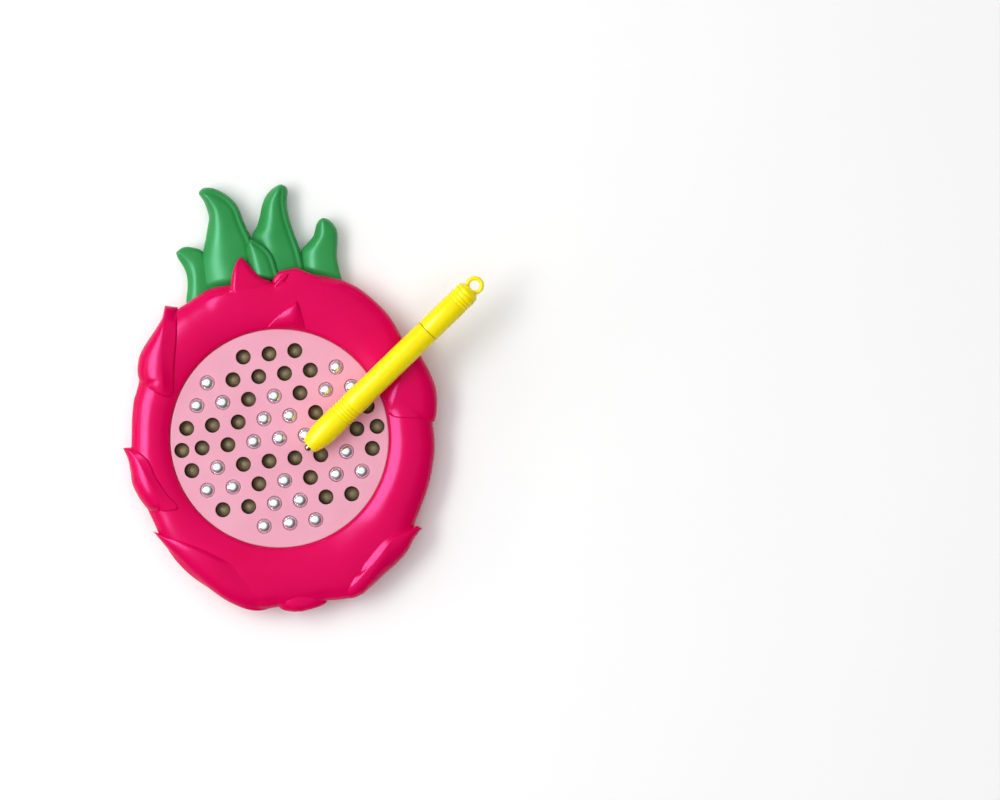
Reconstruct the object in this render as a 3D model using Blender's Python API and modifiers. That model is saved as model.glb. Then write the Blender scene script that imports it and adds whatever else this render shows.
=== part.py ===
"""Fruit-shaped magnetic drawing board with steel balls and a magnetic pen, lying on its back.

The face looks up, the leaves point along +Y, and the origin is on the back, under the panel's centre.
"""

import math

import bmesh
import bpy
from mathutils import Matrix, Vector

# Casing, in metres
RING_WIDTH = 0.0178
PARTING_HEIGHT = 0.009
EDGE_HEIGHT = 0.0102
CREST_HEIGHT = 0.0160
RIM_HEIGHT = 0.0124
SHELL_WALL = 0.0020
REAR_FLOOR = 0.0020
REAR_ROUNDING = 0.0036
LIP_WALL = 0.0010
LIP_HEIGHT = 0.0018
PART_GAP = 0.0003
CUT_OVERRUN = 0.0010
SAME_POINT = 0.000001
TURN_MERGE = 0.00001

# Radius of the fruit every 15 degrees from +X, as shares of FRUIT_RADIUS, its mean reach
OUTLINE_SHARES = (
    0.975, 0.978, 1.005, 1.062, 1.093, 1.078, 1.052, 1.053,
    1.050, 1.010, 0.967, 0.956, 0.947, 0.945, 0.983, 1.042,
    1.078, 1.102, 1.085, 1.095, 1.098, 1.052, 1.003, 0.985,
)
CREST_SHARE = 0.42
RISE_SHARES = (0.33, 0.67, 1.0)
SHOULDER_TURN_SHARES = (0.24, 0.46, 0.66, 0.84, 1.0)
INNER_TURN_SHARES = (0.58, 0.3, 0.0)
INNER_RISE_SHARE = 0.45

# Raised bracts: x, y and half width along each one, as shares of FRUIT_RADIUS. Between the
# share where the panel's opening is and the outline, they keep their place across the ring.
OPENING_SHARE = 0.70333
BRACT_STEP = 0.0010
BRACT_CROWN_SHARE = 0.15
BRACT_EDGE_HEIGHT = 0.0112
BRACT_SHARES = {
    "left_top": (
        (-0.722, 0.352, 0.040), (-0.724, 0.378, 0.082), (-0.730, 0.440, 0.112),
        (-0.735, 0.545, 0.124), (-0.717, 0.670, 0.110), (-0.664, 0.805, 0.070),
        (-0.620, 0.882, 0.042), (-0.598, 0.922, 0.028),
    ),
    "left_middle": (
        (-0.715, -0.372, 0.025), (-0.745, -0.345, 0.056), (-0.790, -0.300, 0.084),
        (-0.852, -0.210, 0.097), (-0.905, -0.100, 0.076), (-0.950, -0.005, 0.046),
        (-0.991, 0.075, 0.012),
    ),
    "left_bottom": (
        (-0.185, -0.938, 0.025), (-0.235, -0.930, 0.062), (-0.330, -0.908, 0.098),
        (-0.480, -0.842, 0.116), (-0.640, -0.735, 0.105), (-0.765, -0.622, 0.070),
        (-0.835, -0.548, 0.038), (-0.875, -0.506, 0.014),
    ),
    "bottom": (
        (0.022, -0.895, 0.030), (0.020, -0.930, 0.072), (0.016, -0.985, 0.110),
        (0.012, -1.045, 0.124), (0.008, -1.090, 0.088), (0.007, -1.118, 0.030),
    ),
    "right_bottom": (
        (0.318, -1.000, 0.025), (0.365, -0.988, 0.062), (0.460, -0.950, 0.098),
        (0.580, -0.882, 0.106), (0.690, -0.797, 0.083), (0.768, -0.736, 0.050),
        (0.838, -0.680, 0.012),
    ),
    "right": (
        (0.852, -0.055, 0.050), (0.860, -0.025, 0.090), (0.872, 0.045, 0.122),
        (0.885, 0.165, 0.139), (0.898, 0.300, 0.124), (0.911, 0.425, 0.086),
        (0.921, 0.520, 0.046), (0.925, 0.590, 0.013),
    ),
    "top": (
        (-0.033, 0.775, 0.040), (-0.034, 0.810, 0.095), (-0.036, 0.880, 0.145),
        (-0.042, 0.960, 0.158), (-0.055, 1.035, 0.128), (-0.085, 1.105, 0.068),
        (-0.103, 1.172, 0.014),
    ),
    "top_right": (
        (0.200, 0.835, 0.030), (0.203, 0.870, 0.070), (0.208, 0.930, 0.100),
        (0.219, 1.000, 0.086), (0.228, 1.042, 0.055), (0.234, 1.070, 0.020),
    ),
    "rim": (
        (0.100, 0.660, 0.122), (0.130, 0.712, 0.106), (0.166, 0.766, 0.076),
        (0.201, 0.817, 0.040), (0.226, 0.853, 0.012),
    ),
}

# Panel, guide plate and backing plate, in metres
PANEL_MARGIN = 0.00105
PANEL_PROUD = 0.0008
PANEL_THICKNESS = 0.0009
PANEL_SHOULDER = 0.0013
PANEL_SKIRT = 0.0007
FLANGE_WIDTH = 0.0041
FLANGE_THICKNESS = 0.0010
RIM_LIP = 0.0009
RIM_RUN_IN = 0.0007
BACKING_THICKNESS = 0.0012

# Balls and the places they stand in, in metres
BALL_RADIUS = 0.0030
BALL_PITCH = 0.0100
ROW_PITCH_SHARE = 0.82
OUTER_BALL_SHARE = 3.785
WINDOW_RADIUS = 0.0029
WINDOW_PLAY = 0.00009
BORE_CLEARANCE = 0.00015
SUNK_SEAT = 0.00015
# One row of the board per line, from the leaves down: u is a ball pushed up, d one that is down
BALL_ROWS = (
    "ddd",
    "uddddu",
    "uududuu",
    "ddduuddd",
    "ddduuuddd",
    "duddddud",
    "uududuu",
    "dduudd",
    "uuu",
)

# Leaf crown, in metres, with the leaves' x, y and half width as shares of FRUIT_RADIUS
CROWN_SEAM_HEIGHT = 0.0058
LEAF_HALF_THICKNESS = 0.0044
ROOT_HALF_THICKNESS = 0.0026
FRONT_LEAF_LIFT = 0.0026
TONGUE_DEPTH = 0.0020
NECK_START_ANGLE = math.radians(60.0)
NECK_END_ANGLE = math.radians(120.0)
TONGUE_LAP_ANGLE = math.radians(2.5)
THICKENING_SHARES = (1.03, 1.30)
LIFT_SHARES = (1.03, 1.23)
LEAF_SHARES = {
    "outer_left": (
        (-0.424, 0.934, 0.077), (-0.419, 1.031, 0.074), (-0.417, 1.121, 0.069),
        (-0.431, 1.194, 0.062), (-0.460, 1.244, 0.044), (-0.496, 1.265, 0.021),
    ),
    "tall_left": (
        (-0.232, 0.923, 0.150), (-0.216, 1.051, 0.152), (-0.202, 1.165, 0.151),
        (-0.186, 1.273, 0.143), (-0.182, 1.376, 0.125), (-0.193, 1.475, 0.108),
        (-0.228, 1.553, 0.080), (-0.279, 1.611, 0.045), (-0.315, 1.632, 0.018),
    ),
    "front": (
        (0.047, 0.960, 0.074), (0.036, 1.071, 0.083), (0.014, 1.158, 0.077),
        (-0.019, 1.233, 0.051), (-0.046, 1.279, 0.021),
    ),
    "tall_right": (
        (0.088, 0.949, 0.155), (0.101, 1.076, 0.160), (0.113, 1.204, 0.155),
        (0.120, 1.294, 0.135), (0.129, 1.370, 0.109), (0.142, 1.459, 0.085),
        (0.164, 1.534, 0.069), (0.194, 1.581, 0.045), (0.213, 1.604, 0.018),
    ),
    "outer_right": (
        (0.360, 0.902, 0.135), (0.377, 1.023, 0.130), (0.392, 1.124, 0.114),
        (0.422, 1.205, 0.098), (0.455, 1.272, 0.074), (0.468, 1.319, 0.055),
        (0.455, 1.356, 0.022),
    ),
}

# Case screws, in metres
SCREW_COUNT = 6
SCREW_START_ANGLE = math.radians(30.0)
BOSS_RADIUS = 0.0030
REAR_BOSS_HEIGHT = 0.0068
SCREW_RECESS = 0.0038
SCREW_HEAD_RADIUS = 0.0022
SCREW_HEAD_HEIGHT = 0.0016
SCREW_SHANK_RADIUS = 0.0010
SCREW_LENGTH = 0.0090
SHANK_CLEARANCE = 0.00015
SCREW_CROWN_SHARE = 0.7

# Pen, in metres along its axis from the flat end of the nose
PEN_NOSE_SHARES = (0.1867, -0.0733)
PEN_ANGLE = math.radians(37.1)
PEN_NOSE_RADIUS = 0.0033
PEN_GRIP_RADIUS = 0.0050
PEN_BARREL_RADIUS = 0.00475
PEN_NOSE_LENGTH = 0.0090
PEN_BODY_LENGTH = 0.0840
UPPER_BARREL_LENGTH = 0.0203
PEN_BORE_RADIUS = 0.0036
PEN_RIB_DEPTH = 0.0003
PEN_RIB_PITCH = 0.0014
PEN_GRIP_RIB_COUNT = 5
PEN_GRIP_RIB_START = 0.0165
PEN_GRIP_END = 0.0330
PEN_TOP_RIB_COUNT = 3
PEN_TOP_RIB_SETBACK = 0.0050
PEN_SPIGOT_LENGTH = 0.0060
UPPER_BORE_RADIUS = 0.0026
MAGNET_RADIUS = 0.0025
MAGNET_LENGTH = 0.0120
TIP_RADIUS = 0.0011
TIP_REACH = 0.0015
TIP_SEAT = 0.0030
PLUG_RADIUS = 0.0046
PLUG_END_RADIUS = 0.0030
PLUG_BAND = 0.0009
PLUG_SHOULDER = 0.0026
EYELET_RADIUS = 0.00275
EYELET_WIRE_RADIUS = 0.00085
NOSE_LENGTH_SHARES = (0.0, 0.05, 0.28, 0.6, 1.0)
NOSE_SWELL_SHARES = (0.0, 0.12, 0.52, 0.85, 1.0)

# How finely round things are cut
RING_STEPS = 52
PANEL_STEPS = 40
HOLE_STEPS = 8
BORE_STEPS = 6
SUNK_BALL_STEPS = 8
SUNK_BALL_RING_STEPS = 4
BOSS_STEPS = 10
SCREW_STEPS = 8
PEN_STEPS = 12
TUBE_BEVEL_STEPS = 2
EYELET_STEPS = 12
EYELET_WIRE_STEPS = 6
CROWN_ARC_STEPS = 8
TILT_STEPS = 60
HALF_STEP_SHARE = 0.5
ROUNDING_TURNS = tuple(math.radians(turn) for turn in (0.0, 30.0, 60.0, 90.0))
SMOOTH_ANGLE = math.radians(35.0)

# Heights, radii and places that follow from the sizes above
ROW_PITCH = BALL_PITCH * ROW_PITCH_SHARE
OUTER_BALL_PLACE = BALL_PITCH * OUTER_BALL_SHARE
PANEL_RADIUS = OUTER_BALL_PLACE + BALL_RADIUS + PANEL_MARGIN
OPENING_RADIUS = PANEL_RADIUS + PART_GAP
FRUIT_RADIUS = OPENING_RADIUS + RING_WIDTH
PANEL_TOP = RIM_HEIGHT + PANEL_PROUD
PANEL_UNDERSIDE = PANEL_TOP - PANEL_THICKNESS
FLANGE_RADIUS = PANEL_RADIUS + FLANGE_WIDTH
REBATE_HEIGHT = RIM_HEIGHT - RIM_LIP
FLANGE_TOP = REBATE_HEIGHT - PART_GAP
FLANGE_BOTTOM = FLANGE_TOP - FLANGE_THICKNESS
GUIDE_TOP = FLANGE_BOTTOM - PART_GAP
BACKING_BOTTOM = REAR_FLOOR + PART_GAP
BACKING_TOP = BACKING_BOTTOM + BACKING_THICKNESS
GUIDE_BOTTOM = BACKING_TOP + PART_GAP
WINDOW_CONTACT = WINDOW_RADIUS - WINDOW_PLAY
RAISED_BALL_HEIGHT = PANEL_UNDERSIDE - math.sqrt(BALL_RADIUS**2 - WINDOW_CONTACT**2)
SUNK_BALL_HEIGHT = BACKING_TOP + BALL_RADIUS - SUNK_SEAT
REAR_TOP = PARTING_HEIGHT - PART_GAP
LIP_OUTER_INSET = SHELL_WALL + PART_GAP
LIP_INNER_INSET = LIP_OUTER_INSET + LIP_WALL
LIP_TOP = REAR_TOP + LIP_HEIGHT
BOSS_CIRCLE = FLANGE_RADIUS + 2 * PART_GAP + BOSS_RADIUS
NECK_BOTTOM = CROWN_SEAM_HEIGHT - ROOT_HALF_THICKNESS
NECK_TOP = CROWN_SEAM_HEIGHT + ROOT_HALF_THICKNESS
TONGUE_INSET = LIP_INNER_INSET + PART_GAP
TONGUE_INNER_INSET = TONGUE_INSET + TONGUE_DEPTH
PEN_SEAM = PEN_BODY_LENGTH - UPPER_BARREL_LENGTH
PEN_TOP_RIB_START = PEN_BODY_LENGTH - PEN_TOP_RIB_SETBACK
PEN_NOSE_PLACE = tuple(share * FRUIT_RADIUS for share in PEN_NOSE_SHARES)
PLUG_SPIGOT_RADIUS = UPPER_BORE_RADIUS - PART_GAP
MAGNET_START = TIP_SEAT + PART_GAP
CHAMBER_RADIUS = MAGNET_RADIUS + PART_GAP
CHAMBER_END = MAGNET_START + MAGNET_LENGTH + PART_GAP
TIP_BORE_RADIUS = TIP_RADIUS + PART_GAP

# Materials: red, green and blue from 0 to 255, then roughness and metal share
MATERIALS = {
    "shell_magenta": ((222, 2, 89), 0.28, 0.0),
    "panel_pink": ((250, 185, 207), 0.38, 0.0),
    "cell_dark": ((80, 66, 50), 0.55, 0.0),
    "backing_dark": ((80, 66, 50), 0.45, 0.0),
    "ball_steel": ((190, 192, 196), 0.12, 1.0),
    "leaf_green": ((60, 155, 90), 0.35, 0.0),
    "pen_yellow": ((255, 226, 33), 0.32, 0.0),
    "screw_zinc": ((160, 160, 158), 0.35, 1.0),
}


def clear_scene():
    for obj in list(bpy.data.objects):
        bpy.data.objects.remove(obj, do_unlink=True)


def make_collection(name, hidden):
    collection = bpy.data.collections.new(name)
    collection.hide_render = hidden
    bpy.context.scene.collection.children.link(collection)
    return collection


def linear(channel):
    value = channel / 255
    if value <= 0.04045:
        return value / 12.92
    return ((value + 0.055) / 1.055) ** 2.4


def make_material(name, colour, roughness, metallic):
    material = bpy.data.materials.new(name)
    material.use_nodes = True
    shader = material.node_tree.nodes["Principled BSDF"]
    shader.inputs["Base Color"].default_value = [linear(channel) for channel in colour] + [1.0]
    shader.inputs["Roughness"].default_value = roughness
    shader.inputs["Metallic"].default_value = metallic
    return material


def add_object(name, mesh, collection):
    obj = bpy.data.objects.new(name, mesh)
    collection.objects.link(obj)
    return obj


def finish_bmesh(shape, name):
    """Makes a mesh of plain triangles, faces out, so that a Boolean meets no bent face."""
    bmesh.ops.triangulate(shape, faces=shape.faces)
    bmesh.ops.recalc_face_normals(shape, faces=shape.faces)
    mesh = bpy.data.meshes.new(name)
    shape.to_mesh(mesh)
    shape.free()
    return mesh


class Workshop:
    """The two collections, and what every piece needs from them."""

    def __init__(self):
        self.parts = make_collection("magnetic_drawing_board", False)
        self.cutters = make_collection("cutters", True)

    def part(self, name, mesh, material):
        obj = add_object(name, mesh, self.parts)
        mesh.materials.append(material)
        return obj

    def helper(self, name, mesh):
        obj = add_object(name, mesh, self.cutters)
        obj.hide_render = True
        obj.display_type = "WIRE"
        return obj


def combine(target, other, operation):
    modifier = target.modifiers.new(other.name, "BOOLEAN")
    modifier.operation = operation
    modifier.solver = "EXACT"
    modifier.object = other


def shade(obj):
    obj.data.shade_smooth()
    obj.data.set_sharp_from_angle(angle=SMOOTH_ANGLE)


def fruit_radius(angle):
    """Radius of the fruit's outline at an angle, on a smooth closed curve through the shares."""
    count = len(OUTLINE_SHARES)
    place = angle / math.tau * count
    first = math.floor(place)
    t = place - first
    before, start, end, after = (OUTLINE_SHARES[(first + step) % count] for step in (-1, 0, 1, 2))
    slope_start = (end - before) / 2
    slope_end = (after - start) / 2
    share = (
        start * (2 * t**3 - 3 * t**2 + 1)
        + slope_start * (t**3 - 2 * t**2 + t)
        + end * (3 * t**2 - 2 * t**3)
        + slope_end * (t**3 - t**2)
    )
    return share * FRUIT_RADIUS


def ring_height(t):
    """Height of the puffy ring, from the panel's opening (0) to the outline (1)."""
    if t <= CREST_SHARE:
        rise = math.sin(max(t, 0) / CREST_SHARE * math.pi / 2)
        return RIM_HEIGHT + (CREST_HEIGHT - RIM_HEIGHT) * rise
    fall = min((t - CREST_SHARE) / (1 - CREST_SHARE), 1)
    return EDGE_HEIGHT + (CREST_HEIGHT - EDGE_HEIGHT) * math.sqrt(1 - fall**2)


def surface_height(x, y):
    """Height of the ring over a place on the board."""
    outer = fruit_radius(math.atan2(y, x))
    t = (math.hypot(x, y) - OPENING_RADIUS) / (outer - OPENING_RADIUS)
    return ring_height(t)


def shoulder_share(turn_share):
    """Place across the ring at a share of the quarter turn from crest to outline."""
    return CREST_SHARE + (1 - CREST_SHARE) * math.sin(turn_share * math.pi / 2)


def ring_section(t, wall=0.0):
    """A ring of the casing at share t of its width, with the wall's depth taken off."""

    def place(angle):
        outer = fruit_radius(angle) - wall
        return OPENING_RADIUS + t * (outer - OPENING_RADIUS), ring_height(t) - wall

    return place


def inset_section(inset, height):
    """A ring that follows the outline, drawn in by an inset."""
    return lambda angle: (fruit_radius(angle) - inset, height)


def round_section(radius, height):
    return lambda angle: (radius, height)


def loft(sections, name, closed, first_step=0.0):
    """Skins rings from one section to the next, then closes the loop or caps both ends."""
    shape = bmesh.new()
    rings = []
    for section in sections:
        ring = []
        for step in range(RING_STEPS):
            angle = math.tau * (first_step + step) / RING_STEPS
            radius, height = section(angle)
            ring.append(shape.verts.new((radius * math.cos(angle), radius * math.sin(angle), height)))
        rings.append(ring)
    pairs = list(zip(rings, rings[1:]))
    if closed:
        pairs.append((rings[-1], rings[0]))
    else:
        shape.faces.new(rings[0])
        shape.faces.new(rings[-1])
    for ring, following in pairs:
        for step in range(RING_STEPS):
            after = (step + 1) % RING_STEPS
            shape.faces.new((ring[step], ring[after], following[after], following[step]))
    return finish_bmesh(shape, name)


def add_cylinder(shape, place, radius, bottom, top, steps):
    x, y = place
    bmesh.ops.create_cone(
        shape,
        cap_ends=True,
        segments=steps,
        radius1=radius,
        radius2=radius,
        depth=top - bottom,
        matrix=Matrix.Translation((x, y, (top + bottom) / 2)),
    )


def cylinders(places, radius, bottom, top, steps, name):
    """Upright cylinders in one mesh, on a list of places."""
    shape = bmesh.new()
    for place in places:
        add_cylinder(shape, place, radius, bottom, top, steps)
    return finish_bmesh(shape, name)


def across_flats(radius, steps):
    """Corner radius of a many-sided hole that clears a round one of this radius."""
    return radius / math.cos(math.pi / steps)


def turned(workshop, name, profile, steps, material):
    """A turned piece: the profile's points are radius and height, and it is spun round Z."""
    mesh = bpy.data.meshes.new(name)
    points = [(radius, 0.0, height) for radius, height in profile]
    count = len(points)
    on_axis = profile[0][0] == 0 and profile[-1][0] == 0
    edges = [(step, step + 1) for step in range(count - 1)]
    if not on_axis:
        edges.append((count - 1, 0))
    mesh.from_pydata(points, edges, [])
    obj = workshop.part(name, mesh, material)
    screw = obj.modifiers.new("turn", "SCREW")
    screw.steps = steps
    screw.render_steps = steps
    screw.use_merge_vertices = True
    screw.merge_threshold = TURN_MERGE
    screw.use_smooth_shade = True
    return obj


def bract_spine(spine_shares):
    """The spine's points and half widths, with each point at its share of the way across the ring."""
    spine = []
    for x, y, half_width in spine_shares:
        reach_share = math.hypot(x, y)
        across = (reach_share - OPENING_SHARE) / (1 - OPENING_SHARE)
        stretch = (OPENING_RADIUS + across * RING_WIDTH) / reach_share
        spine.append((x * stretch, y * stretch, half_width * FRUIT_RADIUS))
    return spine


def leaf_spine(spine_shares):
    return [tuple(share * FRUIT_RADIUS for share in point) for point in spine_shares]


def petal_mesh(spine, place_vertex, name):
    """A tapered tube along a spine, made a mesh, with each vertex then placed by a function."""
    curve = bpy.data.curves.new(name, "CURVE")
    curve.dimensions = "3D"
    curve.twist_mode = "Z_UP"
    curve.bevel_depth = FRUIT_RADIUS
    curve.bevel_resolution = TUBE_BEVEL_STEPS
    curve.use_fill_caps = True
    spline = curve.splines.new("POLY")
    spline.points.add(len(spine) - 1)
    for point, (x, y, half_width) in zip(spline.points, spine):
        point.co = (x, y, 0.0, 1.0)
        point.radius = half_width / FRUIT_RADIUS
    guide = bpy.data.objects.new(name, curve)
    bpy.context.scene.collection.objects.link(guide)
    graph = bpy.context.evaluated_depsgraph_get()
    mesh = bpy.data.meshes.new_from_object(guide.evaluated_get(graph))
    bpy.data.objects.remove(guide, do_unlink=True)
    shape = bmesh.new()
    shape.from_mesh(mesh)
    bmesh.ops.remove_doubles(shape, verts=shape.verts, dist=SAME_POINT)
    for vertex in shape.verts:
        vertex.co = place_vertex(vertex.co)
    return finish_bmesh(shape, name)


def flattened(height, most):
    """Presses a tube's height flat towards a limit, with its edges left round."""
    return most * height / math.hypot(height, most)


def smooth_step(value, shares):
    low, high = (share * FRUIT_RADIUS for share in shares)
    t = min(max((value - low) / (high - low), 0), 1)
    return t * t * (3 - 2 * t)


def drape_bract(point):
    base = max(surface_height(point.x, point.y), BRACT_EDGE_HEIGHT)
    rise = flattened(point.z, BRACT_STEP) + BRACT_CROWN_SHARE * point.z
    return Vector((point.x, point.y, base + rise))


def place_leaf(point, lift):
    thickening = smooth_step(point.y, THICKENING_SHARES)
    most = ROOT_HALF_THICKNESS + (LEAF_HALF_THICKNESS - ROOT_HALF_THICKNESS) * thickening
    height = CROWN_SEAM_HEIGHT + lift * smooth_step(point.y, LIFT_SHARES)
    return Vector((point.x, point.y, height + flattened(point.z, most)))


def arc_band(outer_inset, inner_inset, start, end, bottom, top, name):
    """A band that follows the outline between two angles, as a flat outline pulled up to its height."""
    shape = bmesh.new()
    rim = []
    for inset, order in ((outer_inset, 1), (inner_inset, -1)):
        for step in range(CROWN_ARC_STEPS + 1)[::order]:
            angle = start + (end - start) * step / CROWN_ARC_STEPS
            radius = fruit_radius(angle) - inset
            rim.append(shape.verts.new((radius * math.cos(angle), radius * math.sin(angle), bottom)))
    face = shape.faces.new(rim)
    pulled = bmesh.ops.extrude_face_region(shape, geom=[face])
    moved = [item for item in pulled["geom"] if isinstance(item, bmesh.types.BMVert)]
    bmesh.ops.translate(shape, verts=moved, vec=(0.0, 0.0, top - bottom))
    return finish_bmesh(shape, name)


def ball_places(state):
    """Places of the balls in one state, row by row from the leaves down."""
    places = []
    middle = len(BALL_ROWS) // 2
    for index, row in enumerate(BALL_ROWS):
        y = (middle - index) * ROW_PITCH
        for order, letter in enumerate(row):
            x = (order - (len(row) - 1) / 2) * BALL_PITCH
            if abs(x) > OUTER_BALL_PLACE:
                x = math.copysign(OUTER_BALL_PLACE, x)
            if letter == state:
                places.append((x, y))
    return places


def all_ball_places():
    return ball_places("u") + ball_places("d")


def screw_places():
    angles = [SCREW_START_ANGLE + math.tau * step / SCREW_COUNT for step in range(SCREW_COUNT)]
    return [(BOSS_CIRCLE * math.cos(angle), BOSS_CIRCLE * math.sin(angle)) for angle in angles]


def front_bosses_mesh(name):
    """A post under the ring for each screw, its top inside the wall."""
    shape = bmesh.new()
    for place in screw_places():
        top = surface_height(*place) - SHELL_WALL / 2
        add_cylinder(shape, place, BOSS_RADIUS, REAR_BOSS_HEIGHT + PART_GAP, top, BOSS_STEPS)
    return finish_bmesh(shape, name)


def make_front_shell(workshop, material):
    """The puffy ring, with its bracts and screw posts, open round the panel."""
    inside = OPENING_RADIUS - CUT_OVERRUN
    sections = [round_section(inside, RIM_HEIGHT - RIM_RUN_IN)]
    sections += [ring_section(CREST_SHARE * share) for share in RISE_SHARES]
    sections += [ring_section(shoulder_share(share)) for share in SHOULDER_TURN_SHARES]
    sections.append(inset_section(0.0, PARTING_HEIGHT))
    sections.append(inset_section(SHELL_WALL, PARTING_HEIGHT))
    sections.append(inset_section(SHELL_WALL, LIP_TOP + PART_GAP))
    sections += [ring_section(shoulder_share(share), SHELL_WALL) for share in INNER_TURN_SHARES]
    sections.append(ring_section(CREST_SHARE * INNER_RISE_SHARE, SHELL_WALL))
    sections.append(round_section(inside, RIM_HEIGHT - SHELL_WALL))
    shell = workshop.part("front_shell", loft(sections, "front_shell", True), material)
    for name, shares in BRACT_SHARES.items():
        bract = petal_mesh(bract_spine(shares), drape_bract, name)
        combine(shell, workshop.helper("bract_" + name, bract), "UNION")
    combine(shell, workshop.helper("front_bosses", front_bosses_mesh("front_bosses")), "UNION")
    seat_radius = FLANGE_RADIUS + PART_GAP
    hole = [
        round_section(seat_radius, PARTING_HEIGHT),
        round_section(seat_radius, REBATE_HEIGHT),
        round_section(OPENING_RADIUS, REBATE_HEIGHT),
        round_section(OPENING_RADIUS, 2 * CREST_HEIGHT),
    ]
    opening = workshop.helper("panel_opening", loft(hole, "panel_opening", False, HALF_STEP_SHARE))
    combine(shell, opening, "DIFFERENCE")
    pilot_radius = across_flats(SCREW_SHANK_RADIUS + SHANK_CLEARANCE, SCREW_STEPS)
    pilot_top = SCREW_RECESS + SCREW_LENGTH
    pilots = cylinders(screw_places(), pilot_radius, REAR_FLOOR, pilot_top, SCREW_STEPS, "pilots")
    combine(shell, workshop.helper("screw_pilots", pilots), "DIFFERENCE")
    shade(shell)
    return shell


def make_rear_shell(workshop, material):
    """The tray behind: flat back, rounded edge, a lip inside the front shell, and screw bosses."""
    corner = REAR_ROUNDING
    sections = []
    for turn in ROUNDING_TURNS:
        sections.append(inset_section(corner * (1 - math.sin(turn)), corner * (1 - math.cos(turn))))
    sections.append(inset_section(0.0, REAR_TOP))
    sections.append(inset_section(LIP_OUTER_INSET, REAR_TOP))
    sections.append(inset_section(LIP_OUTER_INSET, LIP_TOP))
    sections.append(inset_section(LIP_INNER_INSET, LIP_TOP))
    sections.append(inset_section(LIP_INNER_INSET, REAR_FLOOR))
    shell = workshop.part("rear_shell", loft(sections, "rear_shell", False), material)
    posts = cylinders(
        screw_places(), BOSS_RADIUS, REAR_FLOOR / 2, REAR_BOSS_HEIGHT, BOSS_STEPS, "rear_bosses"
    )
    combine(shell, workshop.helper("rear_bosses", posts), "UNION")
    recess_radius = across_flats(SCREW_HEAD_RADIUS + PART_GAP, BOSS_STEPS)
    recesses = cylinders(
        screw_places(), recess_radius, -CUT_OVERRUN, SCREW_RECESS, BOSS_STEPS, "recesses"
    )
    combine(shell, workshop.helper("screw_recesses", recesses), "DIFFERENCE")
    shank_radius = across_flats(SCREW_SHANK_RADIUS + SHANK_CLEARANCE, SCREW_STEPS)
    top = REAR_BOSS_HEIGHT + CUT_OVERRUN
    holes = cylinders(screw_places(), shank_radius, REAR_FLOOR, top, SCREW_STEPS, "shank_holes")
    combine(shell, workshop.helper("screw_holes", holes), "DIFFERENCE")
    gap_angle = PART_GAP / FRUIT_RADIUS
    notch = arc_band(
        -CUT_OVERRUN,
        TONGUE_INNER_INSET,
        NECK_START_ANGLE - gap_angle,
        NECK_END_ANGLE + gap_angle,
        NECK_BOTTOM - PART_GAP,
        LIP_TOP + CUT_OVERRUN,
        "crown_notch",
    )
    combine(shell, workshop.helper("crown_notch", notch), "DIFFERENCE")
    shade(shell)
    return shell


def make_face_panel(workshop, material):
    """The pink face: a shallow cap with a rounded shoulder, a flange under the ring, and windows."""
    profile = [(0.0, PANEL_TOP)]
    for turn in ROUNDING_TURNS:
        radius = PANEL_RADIUS - PANEL_SHOULDER * (1 - math.sin(turn))
        profile.append((radius, PANEL_TOP - PANEL_SHOULDER * (1 - math.cos(turn))))
    profile.append((PANEL_RADIUS, FLANGE_TOP))
    profile.append((FLANGE_RADIUS, FLANGE_TOP))
    profile.append((FLANGE_RADIUS, FLANGE_BOTTOM))
    profile.append((PANEL_RADIUS - PANEL_SKIRT, FLANGE_BOTTOM))
    profile.append((PANEL_RADIUS - PANEL_SKIRT, PANEL_UNDERSIDE))
    profile.append((0.0, PANEL_UNDERSIDE))
    panel = turned(workshop, "face_panel", profile, PANEL_STEPS, material)
    windows = cylinders(
        all_ball_places(),
        across_flats(WINDOW_RADIUS, HOLE_STEPS),
        PANEL_UNDERSIDE - CUT_OVERRUN,
        PANEL_TOP + CUT_OVERRUN,
        HOLE_STEPS,
        "windows",
    )
    combine(panel, workshop.helper("ball_windows", windows), "DIFFERENCE")
    return panel


def make_cell_plate(workshop, material):
    """The plate whose bores keep each ball upright under its window."""
    plate = workshop.part(
        "cell_plate",
        cylinders([(0, 0)], FLANGE_RADIUS, GUIDE_BOTTOM, GUIDE_TOP, PANEL_STEPS, "cell_plate"),
        material,
    )
    bores = cylinders(
        all_ball_places(),
        across_flats(BALL_RADIUS + BORE_CLEARANCE, BORE_STEPS),
        GUIDE_BOTTOM - CUT_OVERRUN,
        GUIDE_TOP + CUT_OVERRUN,
        BORE_STEPS,
        "bores",
    )
    combine(plate, workshop.helper("ball_bores", bores), "DIFFERENCE")
    shade(plate)
    return plate


def make_backing_plate(workshop, material):
    """The plate behind the cells, with the balls that are down seated on it."""
    plate = workshop.part(
        "backing_plate",
        cylinders([(0, 0)], FLANGE_RADIUS, BACKING_BOTTOM, BACKING_TOP, PANEL_STEPS, "backing_plate"),
        material,
    )
    shape = bmesh.new()
    for x, y in ball_places("d"):
        bmesh.ops.create_uvsphere(
            shape,
            u_segments=SUNK_BALL_STEPS,
            v_segments=SUNK_BALL_RING_STEPS,
            radius=BALL_RADIUS,
            matrix=Matrix.Translation((x, y, SUNK_BALL_HEIGHT)),
        )
    combine(plate, workshop.helper("sunk_balls", finish_bmesh(shape, "sunk_balls")), "UNION")
    shade(plate)
    return plate


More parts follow.
